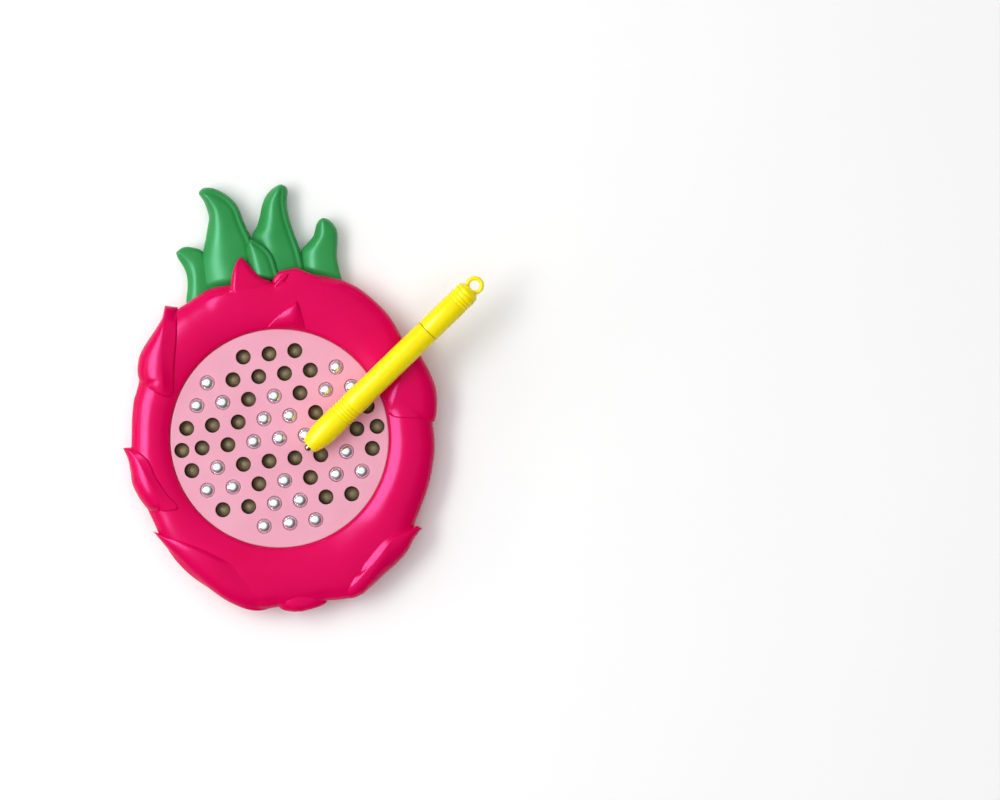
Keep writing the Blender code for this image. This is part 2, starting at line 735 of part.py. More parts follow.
def make_raised_balls(workshop, material):
    shape = bmesh.new()
    bmesh.ops.create_icosphere(shape, subdivisions=2, radius=BALL_RADIUS)
    mesh = finish_bmesh(shape, "steel_ball")
    mesh.materials.append(material)
    mesh.shade_smooth()
    for number, (x, y) in enumerate(ball_places("u"), start=1):
        ball = add_object("raised_ball_%02d" % number, mesh, workshop.parts)
        ball.location = (x, y, RAISED_BALL_HEIGHT)


def make_crown_half(workshop, name, bottom, top, pieces, material):
    """Half of the leaf crown: leaves, neck and tongue joined, then cut at the seam."""
    root, *others = pieces
    half = workshop.part(name, root.data.copy(), material)
    for piece in others:
        combine(half, piece, "UNION")
    reach = 2 * FRUIT_RADIUS
    shape = bmesh.new()
    bmesh.ops.create_cube(shape, size=1.0)
    bmesh.ops.scale(shape, vec=(reach, reach, top - bottom), verts=shape.verts)
    bmesh.ops.translate(shape, vec=(0.0, reach / 2, (top + bottom) / 2), verts=shape.verts)
    slab = workshop.helper(name + "_slab", finish_bmesh(shape, name + "_slab"))
    combine(half, slab, "INTERSECT")
    shade(half)
    return half


def make_leaf_crown(workshop, material):
    """Five leaves on a neck that sits in the rear shell's notch, with a tongue behind its wall."""
    neck = arc_band(
        0.0, TONGUE_INNER_INSET, NECK_START_ANGLE, NECK_END_ANGLE, NECK_BOTTOM, NECK_TOP, "neck"
    )
    tongue = arc_band(
        TONGUE_INSET,
        TONGUE_INNER_INSET,
        NECK_START_ANGLE - TONGUE_LAP_ANGLE,
        NECK_END_ANGLE + TONGUE_LAP_ANGLE,
        BACKING_BOTTOM,
        PARTING_HEIGHT,
        "tongue",
    )
    pieces = [workshop.helper("crown_neck", neck), workshop.helper("crown_tongue", tongue)]
    for name, shares in LEAF_SHARES.items():
        lift = FRONT_LEAF_LIFT if name == "front" else 0.0
        leaf = petal_mesh(leaf_spine(shares), lambda point, lift=lift: place_leaf(point, lift), name)
        pieces.append(workshop.helper("leaf_" + name, leaf))
    half_gap = PART_GAP / 2
    highest = CREST_HEIGHT
    make_crown_half(
        workshop, "leaf_crown_front", CROWN_SEAM_HEIGHT + half_gap, highest, pieces, material
    )
    make_crown_half(
        workshop, "leaf_crown_rear", 0.0, CROWN_SEAM_HEIGHT - half_gap, pieces, material
    )


def make_screws(workshop, material):
    seat = SCREW_RECESS - PART_GAP
    head_bottom = seat - SCREW_HEAD_HEIGHT
    end = head_bottom + SCREW_LENGTH
    profile = (
        (0.0, end),
        (SCREW_SHANK_RADIUS, end - SCREW_SHANK_RADIUS),
        (SCREW_SHANK_RADIUS, seat),
        (SCREW_HEAD_RADIUS, seat),
        (SCREW_HEAD_RADIUS, head_bottom + SCREW_HEAD_HEIGHT / 2),
        (SCREW_HEAD_RADIUS * SCREW_CROWN_SHARE, head_bottom),
        (0.0, head_bottom),
    )
    for number, (x, y) in enumerate(screw_places(), start=1):
        name = "case_screw_%d" % number
        screw = turned(workshop, name, profile, SCREW_STEPS, material)
        screw.location = (x, y, 0.0)


def pen_outer_radius(along):
    """Largest radius of the pen at a place along it."""
    if along >= PEN_NOSE_LENGTH:
        return PEN_GRIP_RADIUS if along < PEN_GRIP_END else PEN_BARREL_RADIUS
    return PEN_NOSE_RADIUS + (PEN_GRIP_RADIUS - PEN_NOSE_RADIUS) * along / PEN_NOSE_LENGTH


def pen_rest():
    """Height of the pen's axis at the nose, and its tilt, when it lies on panel and ring."""
    direction = Vector((math.cos(PEN_ANGLE), math.sin(PEN_ANGLE)))
    nose = Vector(PEN_NOSE_PLACE)
    on_panel = PANEL_TOP + PART_GAP + PEN_GRIP_RADIUS
    steepest = 0.0
    for step in range(1, TILT_STEPS):
        along = PEN_NOSE_LENGTH + (PEN_BODY_LENGTH - PEN_NOSE_LENGTH) * step / TILT_STEPS
        place = nose + direction * along
        if place.length < OPENING_RADIUS or place.length > fruit_radius(PEN_ANGLE):
            continue
        needed = surface_height(place.x, place.y) + PART_GAP + pen_outer_radius(along)
        steepest = max(steepest, (needed - on_panel) / (along - PEN_NOSE_LENGTH))
    tilt = math.atan(steepest)
    return on_panel / math.cos(tilt) - PEN_NOSE_LENGTH * math.sin(tilt), tilt


def pen_frame():
    """Pen placement: local Z runs from nose to eyelet, and local Y points up."""
    height, tilt = pen_rest()
    axis = Vector(
        (
            math.cos(PEN_ANGLE) * math.cos(tilt),
            math.sin(PEN_ANGLE) * math.cos(tilt),
            math.sin(tilt),
        )
    )
    side = Vector((-math.sin(PEN_ANGLE), math.cos(PEN_ANGLE), 0.0))
    up = axis.cross(side)
    turn = Matrix((side, up, axis)).transposed().to_4x4()
    return Matrix.Translation((*PEN_NOSE_PLACE, height)) @ turn


def ribs(start, count, radius):
    """Grooves round the barrel, as profile points from low to high."""
    points = []
    for step in range(count):
        low = start + step * PEN_RIB_PITCH
        points.append((radius, low))
        points.append((radius - PEN_RIB_DEPTH, low + PEN_RIB_PITCH / 4))
        points.append((radius - PEN_RIB_DEPTH, low + PEN_RIB_PITCH / 2))
        points.append((radius, low + PEN_RIB_PITCH * 3 / 4))
    return points


def make_pen_barrel(workshop, material):
    """Lower barrel: rounded nose, ribbed grip, a chamber for the magnet and a hollow behind."""
    outer = []
    for length_share, swell_share in zip(NOSE_LENGTH_SHARES, NOSE_SWELL_SHARES):
        swell = (PEN_GRIP_RADIUS - PEN_NOSE_RADIUS) * swell_share
        outer.append((PEN_NOSE_RADIUS + swell, PEN_NOSE_LENGTH * length_share))
    outer += ribs(PEN_GRIP_RIB_START, PEN_GRIP_RIB_COUNT, PEN_GRIP_RADIUS)
    outer.append((PEN_BARREL_RADIUS, PEN_GRIP_END))
    outer.append((PEN_BARREL_RADIUS, PEN_SEAM))
    inner = [
        (PEN_BORE_RADIUS, PEN_SEAM),
        (PEN_BORE_RADIUS, CHAMBER_END),
        (CHAMBER_RADIUS, CHAMBER_END),
        (CHAMBER_RADIUS, TIP_SEAT),
        (TIP_BORE_RADIUS, TIP_SEAT),
        (TIP_BORE_RADIUS, 0.0),
    ]
    profile = (outer + inner)[::-1]
    return turned(workshop, "pen_barrel", profile, PEN_STEPS, material)


def make_pen_upper_barrel(workshop, material):
    start = PEN_SEAM + PART_GAP
    outer = [(PEN_BARREL_RADIUS, start)]
    outer += ribs(PEN_TOP_RIB_START, PEN_TOP_RIB_COUNT, PEN_BARREL_RADIUS)
    outer.append((PEN_BARREL_RADIUS, PEN_BODY_LENGTH))
    spigot_radius = PEN_BORE_RADIUS - PART_GAP
    inner = [
        (UPPER_BORE_RADIUS, PEN_BODY_LENGTH),
        (UPPER_BORE_RADIUS, start - PEN_SPIGOT_LENGTH),
        (spigot_radius, start - PEN_SPIGOT_LENGTH),
        (spigot_radius, start),
    ]
    return turned(workshop, "pen_upper_barrel", (outer + inner)[::-1], PEN_STEPS, material)


def make_pen_end_plug(workshop, material):
    """The plug that closes the barrel, with its eyelet."""
    base = PEN_BODY_LENGTH + PART_GAP
    end = base + PLUG_SHOULDER
    profile = (
        (0.0, end),
        (PLUG_END_RADIUS, end),
        (PLUG_RADIUS, base + PLUG_BAND),
        (PLUG_RADIUS, base),
        (PLUG_SPIGOT_RADIUS, base),
        (PLUG_SPIGOT_RADIUS, base - PEN_SPIGOT_LENGTH),
        (0.0, base - PEN_SPIGOT_LENGTH),
    )
    plug = turned(workshop, "pen_end_plug", profile, PEN_STEPS, material)
    bpy.ops.mesh.primitive_torus_add(
        major_segments=EYELET_STEPS,
        minor_segments=EYELET_WIRE_STEPS,
        major_radius=EYELET_RADIUS,
        minor_radius=EYELET_WIRE_RADIUS,
    )
    made = bpy.context.object
    mesh = made.data
    bpy.data.objects.remove(made, do_unlink=True)
    mesh.transform(Matrix.Rotation(math.pi / 2, 4, "X"))
    mesh.transform(Matrix.Translation((0.0, 0.0, end + EYELET_RADIUS - EYELET_WIRE_RADIUS)))
    ring = workshop.helper("eyelet", mesh)
    combine(plug, ring, "UNION")
    return plug, ring


def make_pen(workshop, plastic, metal, dark_metal):
    barrel = make_pen_barrel(workshop, plastic)
    upper = make_pen_upper_barrel(workshop, plastic)
    plug, ring = make_pen_end_plug(workshop, plastic)
    magnet_profile = (
        (0.0, MAGNET_START + MAGNET_LENGTH),
        (MAGNET_RADIUS, MAGNET_START + MAGNET_LENGTH),
        (MAGNET_RADIUS, MAGNET_START),
        (0.0, MAGNET_START),
    )
    magnet = turned(workshop, "pen_magnet", magnet_profile, PEN_STEPS, dark_metal)
    tip_profile = (
        (0.0, TIP_SEAT),
        (TIP_RADIUS, TIP_SEAT),
        (TIP_RADIUS, TIP_RADIUS / 2 - TIP_REACH),
        (TIP_RADIUS / 2, -TIP_REACH),
        (0.0, -TIP_REACH),
    )
    tip = turned(workshop, "pen_tip", tip_profile, SCREW_STEPS, metal)
    frame = bpy.data.objects.new("pen_frame", None)
    workshop.parts.objects.link(frame)
    frame.matrix_world = pen_frame()
    for piece in (barrel, upper, plug, magnet, tip, ring):
        piece.parent = frame


def main():
    clear_scene()
    workshop = Workshop()
    finish = {name: make_material(name, *values) for name, values in MATERIALS.items()}
    make_front_shell(workshop, finish["shell_magenta"])
    make_rear_shell(workshop, finish["shell_magenta"])
    make_face_panel(workshop, finish["panel_pink"])
    make_cell_plate(workshop, finish["cell_dark"])
    make_backing_plate(workshop, finish["backing_dark"])
    make_raised_balls(workshop, finish["ball_steel"])
    make_leaf_crown(workshop, finish["leaf_green"])
    make_screws(workshop, finish["screw_zinc"])
    make_pen(workshop, finish["pen_yellow"], finish["ball_steel"], finish["screw_zinc"])


main()
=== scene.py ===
"""The fruit-shaped magnetic drawing board: moulded casing, leaves, pink panel, steel balls and pen."""

import bisect
import math

import bmesh
import bpy
from mathutils import Matrix, Vector


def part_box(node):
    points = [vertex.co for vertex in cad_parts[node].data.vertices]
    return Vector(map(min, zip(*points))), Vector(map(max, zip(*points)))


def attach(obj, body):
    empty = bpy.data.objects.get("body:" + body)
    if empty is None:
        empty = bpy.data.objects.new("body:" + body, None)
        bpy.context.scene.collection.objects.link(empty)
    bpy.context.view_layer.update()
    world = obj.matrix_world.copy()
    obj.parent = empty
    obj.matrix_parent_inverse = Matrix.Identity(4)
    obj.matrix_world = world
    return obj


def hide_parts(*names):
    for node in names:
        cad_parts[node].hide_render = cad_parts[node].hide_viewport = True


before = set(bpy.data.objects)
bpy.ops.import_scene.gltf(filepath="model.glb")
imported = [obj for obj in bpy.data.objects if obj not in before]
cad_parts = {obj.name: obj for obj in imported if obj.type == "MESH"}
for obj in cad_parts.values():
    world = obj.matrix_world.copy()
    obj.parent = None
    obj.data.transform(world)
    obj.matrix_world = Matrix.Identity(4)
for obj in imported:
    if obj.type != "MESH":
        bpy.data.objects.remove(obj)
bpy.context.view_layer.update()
MM = 0.001

# Casing and panel: radii from the panel's centre and heights over the back, in millimetres
OPENING_RADIUS = 42.2
PANEL_RADIUS = 42.13
PANEL_TOP = 13.2
PANEL_UNDERSIDE = 12.3
PANEL_ROUND = 0.6
PANEL_ROUND_STEPS = 10
PANEL_WALL = 0.7
PANEL_STEPS = 256
FLANGE_RADIUS = 46.0
FLANGE_TOP = 11.2
FLANGE_BOTTOM = 10.2
FIT_GAP = 0.3
REBATE_HEIGHT = 11.5
RIM_HEIGHT = 12.4
CREST_HEIGHT = 16.0
EDGE_HEIGHT = 10.2
EDGE_BAND = 0.5
PARTING_HEIGHT = 9.0
REAR_TOP = 8.7

# The ring is turned with one outer radius, then stretched to the casing's outline
TURNED_RADIUS = 60.0
RING_STEPS = 480
CREST_SHARE = 0.42  # of the ring's width
INNER_STEPS, INNER_SPREAD = 30, 2.2
OUTER_STEPS = 32
RIM_ROLL = 1.5
RIM_ROLL_SHARE = 0.13
# Out from the opening and down from the rim
RIM_FOOT = ((0.0, 0.35), (0.03, 0.12))
# In from the wall and away from the parting
PARTING_ROUND = ((0.0, 0.25), (0.08, 0.07), (0.25, 0.0))
# The front's inner side: radius and height
FRONT_VAULT = [(58.0, 9.0), (57.6, 11.0), (54.0, 13.0), (50.0, 13.6), (46.3, 13.0)]
# The part of the ring that is moved to the outline without being stretched: shares of its width, and top
WALL_START, WALL_END, WALL_TOP = 0.85, 1.02, 13.5
ON_SURFACE = 1e-4

# The ring's shoulder is squarer between the upper bracts: angles and blends in degrees, then powers
FIRM_START, FIRM_START_BLEND = 58, 18
FIRM_END, FIRM_END_BLEND = 112, 14
ROUND_POWER, FIRM_POWER = 2, 2.2

# Casing rear: a tray with a lip inside the front
REAR_CORNER = 3.6
REAR_CORNER_STEPS = 8
LIP_RADIUS = 57.7
LIP_TOP = 10.5
TRAY_RADIUS = 56.7
BACK_THICKNESS = 2.0
CENTRE_RADIUS = 1

# Case screws: their circle, then radius, bottom and top of each one's post, recess and hole
SCREW_CIRCLE = 49.6
SCREW_COUNT = 6
SCREW_START = 30
SCREW_POST = (3.0, 1.0, 6.8)
SCREW_RECESS = (2.5, -1.0, 3.8)
SCREW_HOLE = (1.2, 2.0, 8.0)
# Radius, height and rounding from the screw's tip to its head, then the cross in the head
SCREW_PROFILE = (
    (0.0, 10.9, 0), (1.0, 9.9, 0.2), (1.0, 3.5, 0.1), (2.2, 3.5, 0.1),
    (2.2, 2.5, 0.3), (1.5, 1.9, 0.4), (0.0, 1.9, 0),
)
SCREW_STEPS = 48
CROSS_BAR = (2.4, 0.55, 1.6)
CROSS_HEIGHT = 2.1
CROSS_TURN = 0.4

# Angles in degrees from which an edge is sharp
MOULDED_ANGLE = 50
CRISP_ANGLE = 35
PLATE_ANGLE = 30

# Steps of curves, then distances in millimetres within which points are merged
PATH_STEPS = 12
ARC_STEPS = 48
PLATE_STEPS = 192
TURN_MERGE = 0.0005
PATCH_MERGE = 0.002

# How far a cutter reaches past what it cuts
CUT_OVERRUN = 1.0

# The casing's outline, clockwise from the leaves, in millimetres
OUTLINE = (
    (-29.8, 55.8), (-24.8, 58.3), (-20.2, 60.4), (-15.8, 61.0), (-11.6, 61.0), (-6.0, 61.8),
    (0.0, 61.2), (5.7, 60.1), (8.4, 61.8), (14.2, 62.8), (18.7, 61.7), (25.8, 59.6),
    (31.3, 57.6), (36.8, 54.1), (42.3, 48.7), (46.8, 42.9), (49.4, 38.0), (51.4, 32.6),
    (53.6, 27.0), (56.2, 20.0), (58.2, 13.0), (58.9, 6.0), (59.0, 0.0), (59.2, -5.0),
    (58.8, -10.8), (57.4, -17.0), (55.5, -23.0), (52.9, -28.9), (49.8, -34.7), (47.6, -38.9),
    (46.2, -42.6), (44.4, -46.6), (42.2, -50.5), (38.1, -53.7), (33.4, -56.6), (28.2, -60.5),
    (22.4, -64.0), (15.2, -64.6), (10.4, -64.4), (6.3, -65.0), (-0.8, -65.4), (-6.1, -65.0),
    (-8.6, -64.5), (-13.4, -64.6), (-17.5, -63.7), (-22.7, -61.8), (-28.1, -58.4), (-32.4, -55.4),
    (-36.7, -51.9), (-41.2, -47.6), (-45.2, -42.4), (-48.5, -36.4), (-50.8, -30.8), (-52.2, -26.2),
    (-54.0, -20.8), (-55.8, -15.0), (-57.3, -9.0), (-57.8, -3.0), (-57.5, 2.0), (-56.9, 6.0),
    (-56.3, 10.2), (-55.0, 17.8), (-54.0, 21.6), (-52.6, 24.8), (-51.2, 28.6), (-50.9, 33.4),
    (-49.9, 36.6), (-47.9, 39.8), (-45.3, 42.7), (-43.0, 45.4), (-40.6, 48.2), (-38.0, 50.9),
    (-35.4, 52.8), (-33.0, 54.3),
)

# Bracts: left edge, fold and right edge from base to tip, in millimetres, then how each one swells.
# crest: heights along the fold; arch: how each side falls from the fold to its edge on the ring;
# edge: how it falls where the edge is beyond the outline; lip: how far each side stands off the ring;
# soft: how much of its length the base takes to rise; open_base: the base runs out into the ring.
LEFT_TOP = dict(
    left=(
        (-43.6, 22.0), (-48.2, 25.9), (-50.8, 28.5), (-51.3, 32.3), (-50.4, 36.6), (-49.1, 39.4),
        (-46.6, 42.8), (-42.7, 47.3), (-39.8, 50.9), (-38.6, 53.5), (-37.7, 56.3),
    ),
    fold=(
        (-43.6, 22.0), (-42.5, 23.6), (-41.7, 26.3), (-41.5, 31.3), (-40.5, 39.3), (-38.9, 47.6),
        (-37.7, 52.9), (-36.9, 56.1),
    ),
    right=(
        (-43.6, 22.0), (-41.0, 21.1), (-38.9, 21.3), (-37.9, 24.2), (-37.1, 29.2), (-36.1, 34.9),
        (-34.5, 42.4), (-33.7, 48.2), (-33.3, 52.8), (-32.9, 55.0),
    ),
    crest=(16.4, 17.4, 17.7, 17.7, 17.4, 16.6, 15.2, 13.2),
    arch=(2.0, 1.05), lip=(0.6, 0.75), soft=0.04,
)
LEFT_MIDDLE = dict(
    left=(
        (-49.1, -22.3), (-51.8, -21.8), (-53.8, -20.9), (-55.9, -17.6), (-57.2, -14.9), (-58.6, -10.4),
        (-58.7, -5.5), (-59.1, -0.6), (-60.5, 3.7),
    ),
    fold=(
        (-49.1, -22.3), (-48.7, -20.2), (-49.0, -16.7), (-50.3, -13.8), (-51.7, -9.7), (-53.0, -6.2),
        (-54.9, -2.1), (-57.4, 1.7), (-60.5, 3.7),
    ),
    right=(
        (-49.1, -22.3), (-45.3, -22.6), (-41.9, -22.0), (-43.1, -19.3), (-45.3, -16.4), (-47.6, -11.7),
        (-49.1, -8.4), (-50.1, -4.6), (-51.6, -1.3), (-54.2, 1.3), (-57.0, 3.5), (-60.5, 3.7),
    ),
    crest=(15.4, 16.6, 17.2, 17.3, 17.1, 16.6, 15.6, 14.2, 12.6),
    arch=(2.0, 1.05), lip=(0.5, 0.6), soft=0.06,
)
LEFT_BOTTOM = dict(
    left=(
        (-13.4, -53.3), (-15.4, -51.1), (-19.4, -48.5), (-23.7, -45.8), (-27.6, -43.2), (-32.7, -39.8),
        (-38.5, -36.6), (-44.3, -33.7), (-49.1, -31.4), (-52.9, -29.6),
    ),
    fold=(
        (-13.4, -53.3), (-17.8, -51.6), (-22.2, -49.3), (-26.5, -46.4), (-31.4, -42.5), (-37.2, -38.7),
        (-43.7, -35.2), (-48.8, -32.4), (-52.9, -29.6),
    ),
    right=(
        (-13.4, -53.3), (-10.9, -57.4), (-9.9, -61.4), (-11.4, -64.3), (-15.2, -65.0), (-18.8, -64.5),
        (-23.1, -62.7), (-28.5, -59.2), (-32.3, -55.8), (-36.1, -52.0), (-39.9, -47.9), (-43.9, -42.7),
        (-47.9, -37.2), (-51.1, -32.3), (-52.9, -29.6),
    ),
    crest=(16.0, 16.5, 17.0, 17.2, 17.2, 16.8, 15.8, 14.4, 12.6),
    arch=(1.1, 1.6), lip=(0.5, 0.3), soft=0.5,
)
BOTTOM = dict(
    left=(
        (0.9, -57.4), (-3.5, -58.4), (-7.0, -61.1), (-8.4, -64.1), (-6.4, -66.0), (-3.0, -67.0),
        (0.4, -67.3),
    ),
    fold=((0.9, -57.4), (0.1, -60.0), (-0.6, -62.6), (-0.5, -65.0), (0.4, -67.3)),
    right=(
        (0.9, -57.4), (5.7, -58.9), (8.9, -61.7), (10.3, -64.6), (8.3, -65.9), (4.7, -66.8), (0.4, -67.3),
    ),
    crest=(15.4, 15.5, 15.1, 14.1, 12.4),
    arch=(1.6, 1.6), lip=(0.0, 0.0), soft=0.85,
)
RIGHT_BOTTOM = dict(
    left=(
        (21.2, -55.6), (24.6, -53.4), (27.9, -50.4), (31.0, -47.3), (33.9, -44.7), (36.6, -42.9),
        (39.5, -42.1), (42.8, -41.2), (46.2, -40.4), (48.6, -40.0), (50.1, -41.2),
    ),
    fold=(
        (21.2, -55.6), (25.2, -54.7), (29.0, -52.7), (32.7, -49.6), (36.0, -46.2), (38.7, -43.7),
        (41.6, -42.8), (45.1, -42.0), (50.1, -41.2),
    ),
    right=(
        (21.2, -55.6), (18.3, -58.6), (16.9, -62.2), (19.2, -64.6), (23.9, -63.7), (27.5, -61.4),
        (31.2, -58.8), (34.2, -56.5), (37.8, -54.1), (41.5, -51.2), (44.2, -48.5), (46.2, -45.4),
        (48.2, -43.1), (50.1, -41.2),
    ),
    crest=(15.2, 15.9, 16.4, 16.7, 16.8, 16.6, 16.0, 14.9, 12.9),
    arch=(1.05, 1.8), lip=(0.0, 0.2), soft=0.22,
)
RIGHT = dict(
    left=(
        (43.2, 3.2), (42.2, 4.6), (42.0, 6.6), (42.0, 9.4), (43.1, 13.2), (45.8, 17.8), (48.9, 23.6),
        (51.4, 29.5), (53.6, 33.1), (56.2, 35.7),
    ),
    fold=(
        (43.2, 3.2), (44.6, 6.4), (47.0, 11.2), (49.4, 16.4), (51.4, 22.0), (52.9, 27.8), (54.2, 32.2),
        (56.2, 35.7),
    ),
    right=(
        (43.2, 3.2), (46.6, 2.2), (51.2, 1.5), (55.6, 0.7), (59.0, -1.1), (60.5, 0.2), (61.6, 4.2),
        (62.1, 8.6), (61.9, 13.1), (60.3, 19.1), (58.1, 24.7), (57.0, 30.0), (56.2, 35.7),
    ),
    crest=(14.0, 15.8, 16.8, 17.2, 17.1, 16.3, 14.8, 12.8),
    arch=(1.4, 2.0), lip=(0.5, 0.5), soft=0.05,
)
TOP = dict(
    left=(
        (-13.2, 52.6), (-13.0, 55.4), (-12.4, 58.3), (-11.6, 61.1), (-10.1, 66.0), (-8.3, 69.3),
        (-6.5, 71.3),
    ),
    fold=((-7.4, 51.9), (-8.2, 55.9), (-8.4, 60.2), (-7.7, 65.5), (-7.1, 68.9), (-6.5, 71.3)),
    right=(
        (-2.8, 50.9), (1.9, 54.2), (4.4, 57.8), (4.1, 60.4), (1.6, 61.9), (-0.8, 64.2), (-4.4, 69.2),
        (-6.5, 71.3),
    ),
    crest=(16.1, 16.2, 16.2, 15.9, 15.1, 13.6),
    arch=(1.5, 1.5), edge=3.4, lip=(0.35, 0.0), soft=0.75, open_base=True,
)
TOP_RIGHT = dict(
    left=(
        (27.4, 56.9), (23.1, 59.9), (18.1, 62.5), (14.7, 64.4), (11.3, 64.3), (8.1, 64.0), (6.2, 62.6),
        (4.4, 60.4),
    ),
    fold=(
        (27.2, 55.4), (22.5, 58.3), (17.8, 60.4), (14.5, 62.0), (11.0, 62.2), (8.2, 61.8), (6.2, 60.9),
        (4.4, 60.4),
    ),
    right=(
        (27.0, 53.5), (21.7, 54.7), (17.2, 55.8), (13.8, 56.8), (10.8, 57.2), (7.7, 57.4), (5.5, 58.4),
        (4.4, 60.4),
    ),
    crest=(14.6, 15.3, 15.6, 15.7, 15.6, 15.3, 14.6),
    arch=(1.6, 1.6), edge=3.0, lip=(0.0, 0.0), soft=0.4, open_base=True,
)
TOP_FOLD = dict(
    left=((2.6, 56.0), (4.4, 58.8), (6.6, 61.2), (9.4, 63.2)),
    fold=((5.2, 56.0), (6.0, 58.4), (8.5, 60.6), (11.3, 62.8)),
    right=((10.4, 55.6), (11.1, 58.0), (11.6, 60.4), (12.0, 62.9)),
    crest=(15.9, 16.2, 16.3, 16.1),
    arch=(1.2, 1.2), edge=2.4, lip=(0.0, 0.1), soft=0.6, open_base=True,
)
RIM = dict(
    left=((-0.0, 42.2), (1.8, 44.2), (4.8, 46.7), (8.6, 49.3), (11.3, 50.7), (13.2, 51.6)),
    fold=((9.5, 41.1), (10.5, 43.9), (11.6, 47.6), (12.6, 50.0), (13.2, 51.6)),
    right=((15.0, 39.5), (14.9, 43.3), (14.4, 47.3), (13.9, 49.8), (13.2, 51.6)),
    crest=(13.8, 15.9, 16.8, 17.1, 16.9, 16.5),
    arch=(1.6, 1.6), lip=(0.45, 0.35), soft=0.1, open_base=True,
)
BRACTS = (LEFT_TOP, LEFT_MIDDLE, LEFT_BOTTOM, BOTTOM, RIGHT_BOTTOM, RIGHT, TOP, TOP_RIGHT, TOP_FOLD, RIM)
BRACT_ROWS, BRACT_COLUMNS = 64, 44
BRACT_SINK, BRACT_BASE_SINK = 0.25, 0.5
BRACT_FOOT = 9.45
BRACT_INNER_FOOT = 12.0
BRACT_INNER_RADIUS = 47.0
BRACT_EDGE = 10.8
BRACT_BLEND = 0.4
BRACT_TIP = 0.06  # of its length
LIP_WIDTH = 0.9
QUICK_START = 0.1
# Shares of the ring's width from which an edge counts as beyond the outline, and over which it turns so
BEYOND_START, BEYOND_BLEND = 0.80, 0.14

# Leaves: left and right edges from root to tip, in millimetres, then lift off the seam, half thickness,
# and whether a bead runs along the right edge
OUTER_LEFT = dict(
    left=(
        (-29.9, 53.5), (-29.4, 57.6), (-28.3, 62.6), (-28.1, 66.8), (-29.0, 70.4), (-30.7, 73.8),
        (-31.2, 76.2),
    ),
    right=(
        (-19.0, 55.5), (-19.2, 62.3), (-19.6, 67.2), (-19.6, 71.0), (-21.0, 75.4), (-24.6, 77.3),
        (-28.2, 77.8), (-31.2, 76.2),
    ),
    lift=0.0, thick=2.7, bead=False,
)
TALL_LEFT = dict(
    left=(
        (-20.6, 53.5), (-21.4, 58.0), (-22.0, 63.0), (-22.0, 70.5), (-20.7, 75.5), (-19.2, 79.8),
        (-17.9, 84.1), (-16.9, 87.9), (-17.3, 91.4), (-18.1, 94.4), (-19.1, 96.4), (-19.7, 97.7),
    ),
    right=(
        (2.0, 55.5), (1.4, 62.0), (0.4, 68.4), (-1.0, 74.4), (-1.8, 78.9), (-3.0, 82.3), (-4.1, 86.3),
        (-5.0, 90.1), (-7.0, 93.7), (-10.1, 96.8), (-13.7, 99.0), (-17.0, 99.6), (-18.9, 98.9),
        (-19.7, 97.7),
    ),
    lift=0.9, thick=4.4, bead=True,
)
FRONT = dict(
    left=((-3.6, 54.5), (-3.9, 60.0), (-4.6, 66.0), (-4.5, 71.0), (-3.9, 75.0), (-2.3, 77.7)),
    right=(
        (8.4, 54.5), (8.2, 60.0), (7.4, 64.8), (6.5, 69.6), (5.0, 72.6), (3.1, 74.8), (0.4, 76.8),
        (-2.3, 77.7),
    ),
    lift=3.7, thick=4.2, bead=True,
)
TALL_RIGHT = dict(
    left=(
        (-3.5, 55.7), (-3.0, 62.0), (-2.4, 68.6), (-1.4, 75.0), (-1.1, 79.2), (0.8, 81.9), (2.5, 85.5),
        (3.7, 89.2), (5.4, 92.8), (8.0, 95.5), (10.6, 97.0), (12.6, 97.3),
    ),
    right=(
        (18.8, 54.5), (18.0, 60.0), (17.3, 65.2), (16.6, 70.9), (16.0, 73.8), (15.0, 78.1), (14.0, 83.1),
        (13.6, 88.0), (13.8, 91.2), (14.5, 94.0), (14.3, 96.0), (12.6, 97.3),
    ),
    lift=0.3, thick=4.4, bead=True,
)
OUTER_RIGHT = dict(
    left=(
        (14.0, 54.0), (15.2, 60.0), (15.8, 65.3), (16.8, 70.7), (19.5, 73.4), (22.2, 75.9), (23.3, 78.4),
        (24.1, 80.4), (25.4, 81.9), (26.9, 82.5),
    ),
    right=(
        (33.0, 50.5), (31.8, 55.0), (31.0, 58.8), (30.5, 63.0), (30.3, 67.3), (31.1, 71.9), (31.6, 76.4),
        (30.7, 79.2), (28.9, 81.6), (26.9, 82.5),
    ),
    lift=0.0, thick=4.0, bead=False,
)
LEAVES = (OUTER_LEFT, TALL_LEFT, FRONT, TALL_RIGHT, OUTER_RIGHT)
LEAF_ROWS, LEAF_COLUMNS = 64, 36
LEAF_RIDGE = 0.48  # of its width
LEAF_SWELL_POWER = 2.2
LEAF_FALL = 0.5
LEAF_FALL_POWER = 1.5
LEAF_EDGE = 1.5
LEAF_TIP = 0.12  # of its length
LIFT_EDGE = 0.8
# Distance from the outline where a leaf starts to thicken, and over which it does
GROWTH_START, GROWTH_LENGTH = -0.8, 3.2
ROOT_THICKNESS = 2.6
# A narrow leaf is thinner: what it has beyond the root's thickness, and the share of its width
SPARE_THICKNESS, WIDTH_SHARE = 0.5, 0.25
BEAD_INSET, BEAD_WIDTH, BEAD_DEPTH = 2.2, 0.7, 0.5
BEAD_FADE_WIDTH = 8

# The leaves' root plate: its seam, ends and insets from the outline, and the slot that it sits in
SEAM_HEIGHT = 5.8
HALF_SEAM = 0.15
CROWN_START, CROWN_END = math.radians(60), math.radians(120)
CROWN_INSET = 5.6
CROWN_BOTTOM = 2.3
LAP_INSET = 3.6
LAP_ANGLE = math.radians(2.5)
SLOT_PLAY = math.radians(0.3)
SLOT_BOTTOM, SLOT_TOP = 2.9, 11.5

